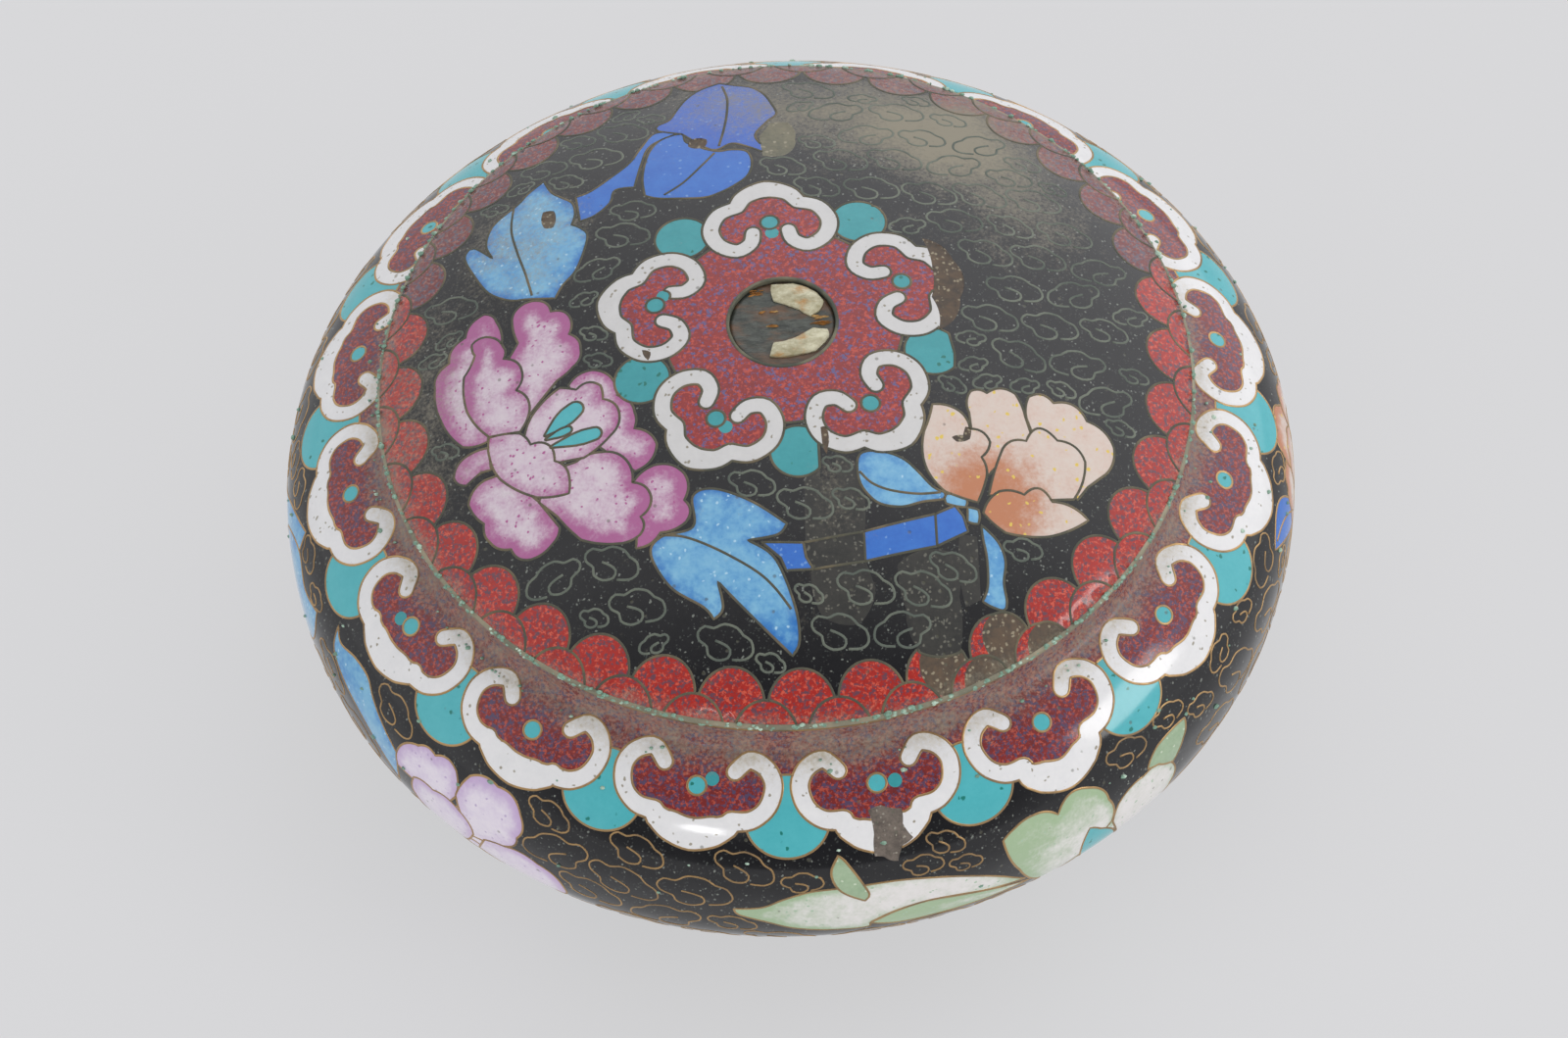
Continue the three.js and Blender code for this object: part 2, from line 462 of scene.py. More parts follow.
@dataclass(frozen=True)
class MineralFinish:
    """Rough, dull matter such as cement or broken stone."""

    base: Colour
    dark: Colour
    streak: Colour
    streaks: float
    roughness: float = 0.8
    grain: float = 0.6
    run: float = 1.0  # how much longer its streaks are from left to right

    def material(self, name: str) -> bpy.types.Material:
        """Builds the mineral's material: grains of two colours with streaks of a third."""
        tree, shader, material = surface(name)
        place = tree.vector("MULTIPLY", tree.place(), (1 / self.run, 1, 1))
        grains = Effects(tree, place).mottle(self.grain * MM, contrast=4.0)
        veins = tree.noise(place, scale=520.0, detail=5.0, rough=0.6)
        streak = tree.spread(veins + (self.streaks - 0.5), 0.42, 0.6)
        matter = tree.mix(grains, self.base, self.dark)
        tree.feed(shader.inputs["Base Color"], tree.mix(streak, matter, self.streak))
        rough = tree.math("ADD", grains * 0.15, self.roughness - 0.08, clamp=True)
        tree.feed(shader.inputs["Roughness"], rough)
        tree.bump(shader, tree.noise(place, scale=1800.0, detail=4.0, rough=0.7), strength=0.6, depth=0.15)
        return material


class Glaze(Enum):
    """The enamels and fillings of the cells."""

    BLACK = GlazeFinish(srgb(16, 16, 19), srgb(25, 25, 27), srgb(112, 116, 110), 0.03, 0.26,
                        srgb(56, 59, 57), 0.1, roughness=0.12, pits=0.07)
    SCALE_RED = GlazeFinish(srgb(172, 44, 36), srgb(142, 38, 34), srgb(98, 64, 76), 0.01, 0.55,
                            srgb(196, 84, 66), -0.03, packed=True, mottle_size=3.5)
    # A darker, rougher copy of the scale red for the back scales of the lid; its darker colour is painted
    # shade.
    SHADED_DULL_RED = GlazeFinish(srgb(122, 50, 48), srgb(98, 42, 44), srgb(90, 80, 94), 0.02, 0.55,
                           srgb(146, 98, 90), -0.03, packed=True, mottle_size=3.5, roughness=0.22)
    MEDAL_RED = GlazeFinish(srgb(144, 48, 46), srgb(120, 42, 46), srgb(92, 84, 128), -0.02, 0.55,
                            srgb(178, 72, 58), -0.02, packed=True)
    MAROON = GlazeFinish(srgb(132, 42, 38), srgb(98, 38, 40), srgb(80, 66, 92), 0.03, 0.5,
                         srgb(166, 74, 60), -0.02, packed=True)
    TURQUOISE = GlazeFinish(srgb(84, 176, 183), srgb(70, 164, 172), srgb(30, 116, 106), 0.03, 0.5,
                            mottle_size=2.5, contrast=2.0)
    TEAL = GlazeFinish(srgb(64, 154, 160), srgb(50, 138, 144), srgb(30, 110, 100), 0.04, 0.5,
                       mottle_size=2.5, contrast=2.0)
    WHITE = GlazeFinish(srgb(224, 223, 223), srgb(211, 211, 212), srgb(150, 144, 130), 0.04, 0.34,
                        contrast=2.0, pits=0.05, grime_and_sheen_colour=srgb(176, 166, 140))
    # A darker copy of the white enamel, as painted shade: it is the white of the lid's heads, which face up
    # and get less light.
    SHADED_WHITE = GlazeFinish(srgb(204, 203, 202), srgb(192, 191, 190), srgb(140, 134, 120), 0.04, 0.34,
                        contrast=2.0, pits=0.05, grime_and_sheen_colour=srgb(166, 156, 132))
    LIGHT_BLUE = GlazeFinish(srgb(122, 176, 206), srgb(90, 152, 198), srgb(160, 198, 220), 0.03, 0.32,
                             tinted=srgb(44, 108, 178), contrast=4.0, mottle_size=3.0)
    COBALT = GlazeFinish(srgb(54, 112, 192), srgb(44, 98, 182), srgb(100, 142, 200), 0.04, 0.34)
    FAR_BLUE = GlazeFinish(srgb(52, 98, 184), srgb(44, 86, 174), srgb(100, 134, 192), 0.04, 0.34)
    PINK = GlazeFinish(srgb(205, 193, 200), srgb(197, 177, 192), srgb(164, 88, 138), 0.05, 0.32,
                       tinted=srgb(162, 92, 139), mottle_size=1.6, contrast=3.6)
    PEACH = GlazeFinish(srgb(204, 192, 182), srgb(202, 180, 168), srgb(212, 184, 84), 0.05, 0.45,
                        tinted=srgb(180, 118, 84), mottle_size=1.8, contrast=3.0)
    GREEN_WHITE = GlazeFinish(srgb(222, 219, 217), srgb(214, 211, 208), srgb(160, 184, 158), 0.03, 0.35,
                              tinted=srgb(154, 177, 142), contrast=3.0)
    MAUVE_WHITE = GlazeFinish(srgb(222, 214, 223), srgb(214, 205, 220), srgb(182, 164, 196), 0.03, 0.35,
                              tinted=srgb(188, 164, 200), contrast=3.0)
    LEAF_GREEN = GlazeFinish(srgb(158, 178, 148), srgb(138, 162, 130), srgb(190, 202, 178), 0.05, 0.35)
    ASH = GlazeFinish(srgb(112, 102, 93), srgb(82, 74, 67), srgb(146, 140, 128), 0.12, 0.3,
                      roughness=0.6, contrast=5.0, pits=0.3, mottle_size=1.2)
    FILLER = GlazeFinish(srgb(52, 51, 47), srgb(38, 38, 36), srgb(96, 95, 86), 0.14, 0.3,
                         roughness=0.4, contrast=4.0, pits=0.2)
    EARTH = GlazeFinish(srgb(92, 74, 56), srgb(62, 54, 46), srgb(140, 130, 108), 0.18, 0.34,
                        roughness=0.6, contrast=4.0, pits=0.25)
    PUTTY = GlazeFinish(srgb(118, 114, 94), srgb(92, 92, 76), srgb(150, 144, 124), 0.18, 0.4,
                        roughness=0.5, contrast=4.0, pits=0.2)
    LINING = GlazeFinish(srgb(58, 150, 168), srgb(44, 132, 156), srgb(30, 96, 110), 0.06, 0.8,
                         mottle_size=5.0, roughness=0.2, pits=0.12)


# ---------------------------------------------------------------------------------------------
# Outlines
# ---------------------------------------------------------------------------------------------


def ccw(outline: Points) -> Points:
    """The outline with its points in counter-clockwise order."""
    x, y = outline[:, 0], outline[:, 1]
    area = np.sum(x * np.roll(y, -1) - y * np.roll(x, -1))
    return outline if area > 0 else outline[::-1]


def circle(centre: Sequence[float], radius: float, step: float = ARC_STEP) -> Points:
    """A round outline about a centre."""
    count = max(12, round(2 * math.pi * radius / step))
    turn = np.arange(count) * 2 * math.pi / count
    return np.column_stack([centre[0] + radius * np.cos(turn), centre[1] + radius * np.sin(turn)])


def scalloped(edge: Sequence[tuple[float, float, float]]) -> Points:
    """An outline of arcs.

    Args:
        edge: Corners as (x, y, bulge). The bulge is the rise of the arc to the next corner as a
            share of half its chord, and a positive one swells out of the shape.

    Returns:
        The outline's points.
    """
    corners = np.array([(x, y) for x, y, _ in edge])
    x, y = corners[:, 0], corners[:, 1]
    turn = np.sign(np.sum(x * np.roll(y, -1) - y * np.roll(x, -1)))
    points = []
    for (start, end, bulge) in zip(corners, np.roll(corners, -1, axis=0), (b for _, _, b in edge)):
        chord = end - start
        length = float(np.hypot(*chord))
        count = max(1, round(length * (1 + bulge * bulge / 2) / ARC_STEP))
        share = np.arange(count) / count
        out = np.array([chord[1], -chord[0]]) * turn / 2 * bulge
        rise = 4 * share * (1 - share)
        points.append(start + chord * share[:, None] + out * rise[:, None])
    return np.vstack(points)


def curve(points: Sequence[Sequence[float]], corners: Iterable[int] = (), closed: bool = True) -> Points:
    """A smooth line through points, which may turn sharply at some of them.

    Args:
        points: The points to pass through.
        corners: Indexes of the points where the line turns sharply.
        closed: Whether the line comes back to its first point.

    Returns:
        The line's points, without a repeat of the first at the end.
    """
    knots = np.array([p[:2] for p in points], float)
    count = len(knots)
    sharp = set(corners)
    spans = count if closed else count - 1
    line = []
    for index in range(spans):
        start, end = knots[index], knots[(index + 1) % count]
        before = knots[index - 1] if closed or index else start
        after = knots[(index + 2) % count] if closed or index + 2 < count else end
        if index in sharp:
            before = start
        if (index + 1) % count in sharp:
            after = end
        length = float(np.hypot(*(end - start)))
        steps = max(2, round(length / ARC_STEP))
        t = (np.arange(steps) / steps)[:, None]
        leave, arrive = (end - before) / 2, (after - start) / 2
        line.append((2 * t**3 - 3 * t**2 + 1) * start + (t**3 - 2 * t**2 + t) * leave
                    + (3 * t**2 - 2 * t**3) * end + (t**3 - t**2) * arrive)
    if not closed:
        line.append(knots[-1:])
    return np.vstack(line)


def band(centre: Points, half_widths: Sequence[float]) -> Points:
    """The outline of a strip with round ends along a line.

    Args:
        centre: The line's points.
        half_widths: Half the strip's width at even shares along the line.

    Returns:
        The strip's outline.
    """
    along = np.gradient(centre, axis=0)
    along /= np.hypot(along[:, 0], along[:, 1])[:, None]
    side = np.column_stack([-along[:, 1], along[:, 0]])
    share = np.linspace(0, 1, len(centre))
    half = np.interp(share, np.linspace(0, 1, len(half_widths)), half_widths)[:, None]
    left, right = centre + side * half, centre - side * half
    caps = []
    for tip, way, lateral, reach in ((centre[-1], along[-1], side[-1], half[-1]),
                                     (centre[0], -along[0], -side[0], half[0])):
        turn = np.linspace(0, math.pi, 8)[1:-1, None]
        caps.append(tip + (lateral * np.cos(turn) + way * np.sin(turn)) * reach)
    return np.vstack([left, caps[0], right[::-1], caps[1]])


def inside(points: Points, outline: Points) -> np.ndarray:
    """Which points lie inside an outline, by counting crossings."""
    x, y = points[:, 0:1], points[:, 1:2]
    x1, y1 = outline[:, 0], outline[:, 1]
    x2, y2 = np.roll(x1, -1), np.roll(y1, -1)
    spans = (y1 > y) != (y2 > y)
    rise = np.where(y2 == y1, 1e-12, y2 - y1)
    crossing = spans & (x < (x2 - x1) * (y - y1) / rise + x1)
    return crossing.sum(axis=1) % 2 == 1


def edge_distance(points: Points, outline: Points) -> np.ndarray:
    """Each point's distance to the nearest point of an outline."""
    gaps = points[:, None, :] - outline[None, :, :]
    return np.sqrt((gaps**2).sum(axis=2)).min(axis=1)


# ---------------------------------------------------------------------------------------------
# Surfaces and meshes
# ---------------------------------------------------------------------------------------------


def superellipse(share: np.ndarray, power: float) -> np.ndarray:
    """The height of a unit superellipse's quarter at a share of its width."""
    return np.power(1 - np.power(share, power), 1 / power)


@dataclass(frozen=True)
class Outline:
    """The box's turned outline, from the same sizes as its solids."""

    body_radius: float
    equator: float
    mouth: float
    lid_edge: float
    foot_top: float
    shoulder_rise: float = 19.4
    shoulder_power: float = 2.45
    belly_drop: float = 19.6
    belly_power: float = 2.75
    wall: float = 2.4
    neck_radius: float = 43.2
    neck_fillet: float = 1.8
    foot_radius: float = 31.0
    lid_radius: float = 43.4
    lid_rise: float = 10.9
    lid_wall: float = 2.2
    dome_power: float = 2.25
    dome_rounding: float = 0.87

    @classmethod
    def from_frame(cls) -> "Outline":
        """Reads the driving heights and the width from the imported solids."""
        body_low, body_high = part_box("body")
        lid_low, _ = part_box("lid")
        mouth = body_high.z / MM
        return cls(body_radius=body_high.x / MM, equator=mouth - 16.4, mouth=mouth,
                   lid_edge=lid_low.z / MM, foot_top=body_low.z / MM)

    def arc(self, width: float, height: float, power: float, radii: tuple[float, float],
            steps: int) -> Points:
        """Points of a quarter superellipse about the equator, between two radii."""
        across = [math.atan2(superellipse(r / width, power), r / width) for r in radii]
        turn = np.linspace(across[0], across[1], steps + 1)
        cos, sin = np.abs(np.cos(turn)), np.abs(np.sin(turn))
        reach = np.power(np.power(cos, power) + np.power(sin, power), -1 / power)
        return np.column_stack([width * reach * cos, self.equator + height * reach * sin])

    def side(self, steps: int = 240) -> Points:
        """The body's outer line, from the mouth down to the foot."""
        shoulder_foot = self.neck_radius + self.neck_fillet
        shoulder = self.arc(self.body_radius, self.shoulder_rise, self.shoulder_power,
                            (shoulder_foot, self.body_radius - 1e-6), steps)
        belly = self.arc(self.body_radius, -self.belly_drop, self.belly_power,
                         (self.body_radius - 1e-6, self.foot_radius), steps)
        centre = shoulder[0] + (0, self.neck_fillet)
        turn = np.linspace(-math.pi, -math.pi / 2, 9)
        fillet = centre + self.neck_fillet * np.column_stack([np.cos(turn), np.sin(turn)])
        return np.vstack([[(self.neck_radius, self.mouth)], fillet, shoulder[1:], belly[1:]])

    def dome(self, radius: np.ndarray, edge: float, rise: float) -> np.ndarray:
        """The lid's height at a radius, for its outer or its inner face."""
        share = np.maximum(0, 1 - np.power(radius / edge, self.dome_power))
        return self.lid_edge + rise * np.power(share, self.dome_rounding)


@dataclass(frozen=True)
class Skin:
    """A turned surface and its flat layout, a disc whose radius is the reach along the surface."""

    reach: np.ndarray
    radius: np.ndarray
    height: np.ndarray

    def place(self, flat: Points, lift: object = 0.0) -> Points:
        """Solid positions of flat points, raised off the surface by `lift`."""
        reach = np.hypot(flat[:, 0], flat[:, 1])
        ray = flat / np.maximum(reach, 1e-9)[:, None]
        radius = np.interp(reach, self.reach, self.radius)[:, None]
        height = np.interp(reach, self.reach, self.height)
        solid = np.column_stack([ray * radius, height])
        return solid + self.normals(flat) * np.reshape(lift, (-1, 1))

    def normals(self, flat: Points) -> Points:
        """Outward directions at flat points."""
        reach = np.hypot(flat[:, 0], flat[:, 1])
        ray = flat / np.maximum(reach, 1e-9)[:, None]
        out = np.interp(reach, self.reach, np.gradient(self.radius, self.reach))
        up = np.interp(reach, self.reach, np.gradient(self.height, self.reach))
        length = np.hypot(out, up)
        return np.column_stack([ray * (-up / length)[:, None], out / length])

    def real_radius(self, reach: float) -> float:
        """The surface's own radius at a reach."""
        return float(np.interp(reach, self.reach, self.radius))


def new_object(name: str, verts: Points, faces: Sequence[Sequence[int]],
               materials: Sequence[bpy.types.Material],
               indexes: Optional[Sequence[int]] = None) -> bpy.types.Object:
    """Makes a smooth mesh object from millimetres.

    Args:
        name: The object's name.
        verts: Positions in millimetres.
        faces: Vertex indexes of each face.
        materials: The mesh's materials.
        indexes: Each face's material, or None where there is one material.

    Returns:
        The object, linked to the scene.
    """
    mesh = bpy.data.meshes.new(name)
    mesh.from_pydata((np.asarray(verts) * MM).tolist(), [], [list(f) for f in faces])
    for material in materials:
        mesh.materials.append(material)
    if indexes is not None:
        mesh.polygons.foreach_set("material_index", np.asarray(indexes, np.int32))
    mesh.polygons.foreach_set("use_smooth", np.ones(len(mesh.polygons), bool))
    mesh.update()
    obj = bpy.data.objects.new(name, mesh)
    bpy.context.scene.collection.objects.link(obj)
    return obj


def attach(obj: bpy.types.Object, slot: str, *nodes: str) -> None:
    """Makes a piece ride on the box, hides the solids it stands for, and reports it with them."""
    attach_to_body(obj, BODY)
    if nodes:
        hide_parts(*nodes)
    solids = ", ".join(nodes) or "no solid"
    LOG.info("%s: %d faces, stands for %s", obj.name, len(obj.data.polygons), solids)


def turned(name: str, profile: Points, material: bpy.types.Material, sides: int = 192,
           wobble: Optional[Callable[[float, int], float]] = None) -> bpy.types.Object:
    """A closed ring turned about the axis.

    Args:
        name: The object's name.
        profile: The section's corners (radius, height), counter-clockwise and not repeated.
        material: Its material.
        sides: Steps round the ring.
        wobble: Adds to the radius at an angle and a profile point.

    Returns:
        The ring.
    """
    verts, faces = [], []
    rows = len(profile)
    for side in range(sides):
        angle = 2 * math.pi * side / sides
        for row, (radius, height) in enumerate(profile):
            reach = radius + (wobble(angle, row) if wobble else 0.0)
            verts.append((reach * math.cos(angle), reach * math.sin(angle), height))
            ahead, above = (side + 1) % sides, (row + 1) % rows
            faces.append((side * rows + row, ahead * rows + row, ahead * rows + above, side * rows + above))
    obj = new_object(name, np.array(verts), faces, [material])
    obj.data.set_sharp_from_angle(angle=math.radians(40))
    return obj


def stacked(sides: int, rings: int, first: int = 0) -> list[tuple[int, ...]]:
    """The faces of a closed lump: a vertex below, rings of vertices over each other, and a vertex on top.

    Args:
        sides: The vertices of a ring.
        rings: How many rings.
        first: The index of the lump's first vertex.

    Returns:
        The faces, facing out.
    """
    faces = []
    last = first + 1 + (rings - 1) * sides
    for side in range(sides):
        ahead = (side + 1) % sides
        faces.append((first, first + 1 + ahead, first + 1 + side))
        for here in range(first + 1, last, sides):
            above = here + sides
            faces.append((here + side, here + ahead, above + ahead, above + side))
        faces.append((last + side, last + ahead, last + sides))
    return faces


@dataclass(frozen=True)
class Shade:
    """How a petal's colour deepens away from the flower's heart and towards its own edge."""

    heart: tuple[float, float]
    reach: float
    rim: float = 2.2  # the width of the deeper colour along the edge
    base: float = 0.0  # depth of colour at the heart instead, for petals that darken inward
    far: float = 0.25  # depth of colour at the reach

    def depth(self, points: Points, outline: Points) -> np.ndarray:
        """The depth of colour at points of a petal, from 0 to 1."""
        away = np.hypot(*(points - np.array(self.heart)).T) / self.reach
        rim = 1 - smoothstep(0.0, self.rim, edge_distance(points, outline))
        outward = np.clip(self.far * away**1.5 + rim * (0.15 + 0.85 * np.clip(away, 0, 1)), 0, 1)
        inward = self.base * (1 - smoothstep(0.15, 0.75, away))
        return np.clip(outward * (1 - min(1.0, self.base)) + inward, 0, 1)


def leaf_shade(outline: Points) -> Shade:
    """The shade of a leaf, deeper along its edge."""
    return Shade(tuple(outline.mean(axis=0)), 14.0, rim=1.5)


@dataclass
class Cell:
    """One cell of the picture, in paint order.

    Cells of one cloison have no wire between them, and a patch has none at all.
    """

    outline: Points
    glaze: Glaze
    cloison: str
    shade: Optional[Shade] = None
    fine: float = 0.0  # the spacing of extra mesh points inside it, or 0 for none
    sunk: float = 0.0  # its depth below the skin


@dataclass(frozen=True)
class WireGauge:
    """The section of a ground-down wire, wider where it is bedded than on top."""

    width: float = 0.4
    proud: float = 0.035
    bedded: float = 0.05
    flat_share: float = 0.6


class Cloisonne:
    """A turned surface covered with enamel cells, fired as one skin with its wires."""

    def __init__(self, skin: Skin, inner: float, outer: float, pitch: float,
                 grime_and_sheen: Callable[[Points], np.ndarray]) -> None:
        """Starts a skin between two reaches.

        Args:
            skin: The surface.
            inner: The reach of its inner edge.
            outer: The reach of its outer edge.
            pitch: The spacing of the mesh on the surface.
            grime_and_sheen: The amount of soiling at flat points, and on the lid of a painted reflection.
        """
        self.skin, self.inner, self.outer, self.pitch = skin, inner, outer, pitch
        self.grime_and_sheen = grime_and_sheen
        self.cells: list[Cell] = []
        self.wires: list[Points] = []
        self.flat = np.zeros((0, 2))
        self.triangles = np.zeros((0, 3), int)
        self.owner = np.zeros(0, int)
        self.lay(circle((0, 0), outer, COARSE_STEP), Glaze.BLACK, GROUND)

    def lay(self, outline: Points, glaze: Glaze, cloison: str, shade: Optional[Shade] = None,
            fine: float = 0.0, sunk: float = 0.0) -> None:
        """Lays a cell over the ones before it."""
        self.cells.append(Cell(ccw(outline), glaze, cloison, shade, fine, sunk))

    def wire(self, line: Points) -> None:
        """Lays an open wire across the ground or a leaf."""
        self.wires.append(line)

    def _grid(self) -> Points:
        """Evenly spaced points over the skin, with closer ones in the cells that ask for them."""
        rings = []
        for ring, reach in enumerate(np.arange(self.inner + self.pitch / 2, self.outer - 0.2, self.pitch)):
            count = max(8, round(2 * math.pi * self.skin.real_radius(reach) / self.pitch))
            turn = (np.arange(count) + 0.5 * (ring % 2) + 0.013) * 2 * math.pi / count
            rings.append(np.column_stack([reach * np.cos(turn), reach * np.sin(turn)]))
        for cell in self.cells:
            if cell.fine:
                low, high = cell.outline.min(axis=0), cell.outline.max(axis=0)
                xs, ys = (np.arange(low[axis] + GRID_OFFSET[axis], high[axis], cell.fine) for axis in (0, 1))
                grid = np.array(np.meshgrid(xs, ys)).reshape(2, -1).T
                rings.append(grid[inside(grid, cell.outline)])
        return np.vstack(rings)

    def fire(self) -> None:
        """Cuts the cells against each other and finds the cell that each triangle belongs to."""
        hole = len(self.cells)
        outlines = [cell.outline for cell in self.cells] + [ccw(circle((0, 0), self.inner, 0.6))]
        verts, faces = [], []
        for outline in outlines:
            faces.append(list(range(len(verts), len(verts) + len(outline))))
            verts.extend(Vector(p) for p in outline.tolist())
        verts.extend(Vector(p) for p in self._grid().tolist())
        points, _, triangles, _, _, owners = delaunay_2d_cdt(verts, [], faces, 0, 1e-5, True)
        top = [max(found, default=-1) if 0 in found else -1 for found in owners]
        kept = [i for i, owner in enumerate(top) if owner not in (-1, hole)]
        self.triangles = np.array([triangles[i] for i in kept])
        self.owner = np.array([top[i] for i in kept])
        used = np.unique(self.triangles)
        renumber = np.full(len(points), -1)
        renumber[used] = np.arange(len(used))
        self.triangles = renumber[self.triangles]
        self.flat = np.array([points[i][:] for i in used])

    def _edges(self) -> dict[tuple[int, int], list[int]]:
        """The triangles at each edge."""
        edges: dict[tuple[int, int], list[int]] = {}
        for index, (a, b, c) in enumerate(self.triangles.tolist()):
            for start, end in ((a, b), (b, c), (c, a)):
                edges.setdefault((min(start, end), max(start, end)), []).append(index)
        return edges

    def rims(self) -> list[list[int]]:
        """The skin's open edges as loops of vertices, counter-clockwise, the inner one first."""
        near, far = [], []
        middle = (self.inner + self.outer) / 2
        rim = {v for edge, faces in self._edges().items() if len(faces) == 1 for v in edge}
        for vertex in rim:
            (near if np.hypot(*self.flat[vertex]) < middle else far).append(vertex)
        turn = np.arctan2(self.flat[:, 1], self.flat[:, 0])
        return [sorted(loop, key=turn.__getitem__) for loop in (near, far)]

    def borders(self) -> list[Points]:
        """The lines between cells of different cloisons, as flat points. A closed one repeats its start."""
        links: dict[int, list[int]] = {}
        names = [self.cells[owner].cloison for owner in self.owner.tolist()]
        for (start, end), faces in self._edges().items():
            beside = {names[face] for face in faces}
            if len(beside) == 2 and PATCH not in beside:
                links.setdefault(start, []).append(end)
                links.setdefault(end, []).append(start)
        seen: set[tuple[int, int]] = set()
        lines = []
        ends = [v for v, near in links.items() if len(near) != 2]
        for start in ends + [v for v, near in links.items() if len(near) == 2]:
            for step in links[start]:
                if (start, step) in seen:
                    continue
                path = [start, step]
                seen |= {(start, step), (step, start)}
                while len(links[path[-1]]) == 2 and path[-1] != start:
                    ahead = [v for v in links[path[-1]] if v != path[-2]]
                    if not ahead:
                        break
                    seen |= {(path[-1], ahead[0]), (ahead[0], path[-1])}
                    path.append(ahead[0])
                lines.append(self.flat[path])
        return lines

    def finder(self) -> Callable[[Points], list[Optional[Cell]]]:
        """A function that tells which cell each flat point lies in."""
        tree = BVHTree.FromPolygons([(x, y, 0.0) for x, y in self.flat.tolist()], self.triangles.tolist())

        def find(points: Points) -> list[Optional[Cell]]:
            """The cell at each point, or None off the skin."""
            found = []
            for x, y in points.tolist():
                index = tree.ray_cast(Vector((x, y, 1.0)), Vector((0, 0, -1)))[2]
                found.append(None if index is None else self.cells[self.owner[index]])
            return found

        return find

    def _depths(self) -> np.ndarray:
        """How far each vertex is sunk: only those that lie wholly inside a sunken cell are."""
        sunk = np.array([cell.sunk for cell in self.cells])[self.owner]
        depth = np.full(len(self.flat), np.inf)
        for corner in range(3):
            np.minimum.at(depth, self.triangles[:, corner], sunk)
        return depth

    def skin_mesh(self, name: str, closing: Sequence[Points]) -> bpy.types.Object:
        """Makes the enamel as one closed mesh.

        Args:
            name: The object's name.
            closing: For the inner and the outer rim, the turned line (radius, height) that closes
                the shell from there to the axis.

        Returns:
            The enamel, with its tint and grime attributes.
        """
        glazes = list(dict.fromkeys([cell.glaze for cell in self.cells] + [Glaze.LINING]))
        normals = self.skin.normals(self.flat)
        verts = [self.skin.place(self.flat, -self._depths())]
        faces = self.triangles.tolist()
        indexes = [glazes.index(self.cells[owner].glaze) for owner in self.owner.tolist()]
        total = len(self.flat)
        for loop, line, outer in zip(self.rims(), closing, (False, True)):
            turn = np.arctan2(self.flat[loop][:, 1], self.flat[loop][:, 0])
            ring = list(loop)
            for radius, height in line:
                if radius > 0:
                    row = np.column_stack([radius * np.cos(turn), radius * np.sin(turn), 0 * turn + height])
                    ahead = list(range(total, total + len(turn)))
                else:
                    row = np.array([(0.0, 0.0, height)])
                    ahead = [total] * len(turn)
                verts.append(row)
                total += len(row)
                for a, b, c, d in zip(ring, ring[1:] + ring[:1], ahead[1:] + ahead[:1], ahead):
                    face = (a, b, c, d) if c != d else (a, b, c)
                    faces.append(face[::-1] if outer else face)
                    indexes.append(glazes.index(Glaze.LINING))
                ring = ahead
        materials = [glaze_material(glaze) for glaze in glazes]
        obj = new_object(name, np.vstack(verts), faces, materials, indexes)
        self._dress(obj, normals)
        return obj

    def _dress(self, obj: bpy.types.Object, normals: Points) -> None:
        """Stores the tint and grime attributes and the true normals of the turned surface."""
        mesh = obj.data
        skin_corners = 3 * len(self.triangles)
        tint = np.zeros(len(mesh.loops), np.float32)
        for index, cell in enumerate(self.cells):
            if cell.shade:
                mine = np.nonzero(self.owner == index)[0]
                if len(mine):
                    corners = self.triangles[mine]
                    depth = cell.shade.depth(self.flat[corners.ravel()], cell.outline)
                    tint[(mine[:, None] * 3 + np.arange(3)).ravel()] = depth
        mesh.attributes.new("tint", "FLOAT", "CORNER").data.foreach_set("value", tint)
        grime_and_sheen = np.zeros(len(mesh.vertices), np.float32)
        grime_and_sheen[:len(self.flat)] = self.grime_and_sheen(self.flat)
        mesh.attributes.new("grime_and_sheen", "FLOAT", "POINT").data.foreach_set("value", grime_and_sheen)
        mesh.set_sharp_from_angle(angle=math.radians(35))
        custom = np.zeros((len(mesh.loops), 3))
        custom[:skin_corners] = normals[self.triangles.ravel()]
        sunk = self._depths() > 0
        custom[:skin_corners][sunk[self.triangles.ravel()]] = 0
        mesh.normals_split_custom_set(custom.tolist())

    def wire_pieces(self, part: str, clouds: Sequence[Points], gauges: Sequence[WireGauge],
                    metals: Sequence[MetalFinish], slot: str) -> None:
        """Makes a part's two pieces of wire: the cells' own, and the clouds.

        Args:
            part: The part's name.
            clouds: The lines of its clouds.
            gauges: The section of the cells' wires and that of the clouds.
            metals: The metal of the cells' wires and that of the clouds.
            slot: Not used.
        """
        pieces = ((part + "_wire", self.borders() + self.wires), (part + "_cloud_wire", clouds))
        for (name, lines), gauge, metal in zip(pieces, gauges, metals):
            attach(self.wire_mesh(name + "s", lines, gauge, metal.material(name)), slot)

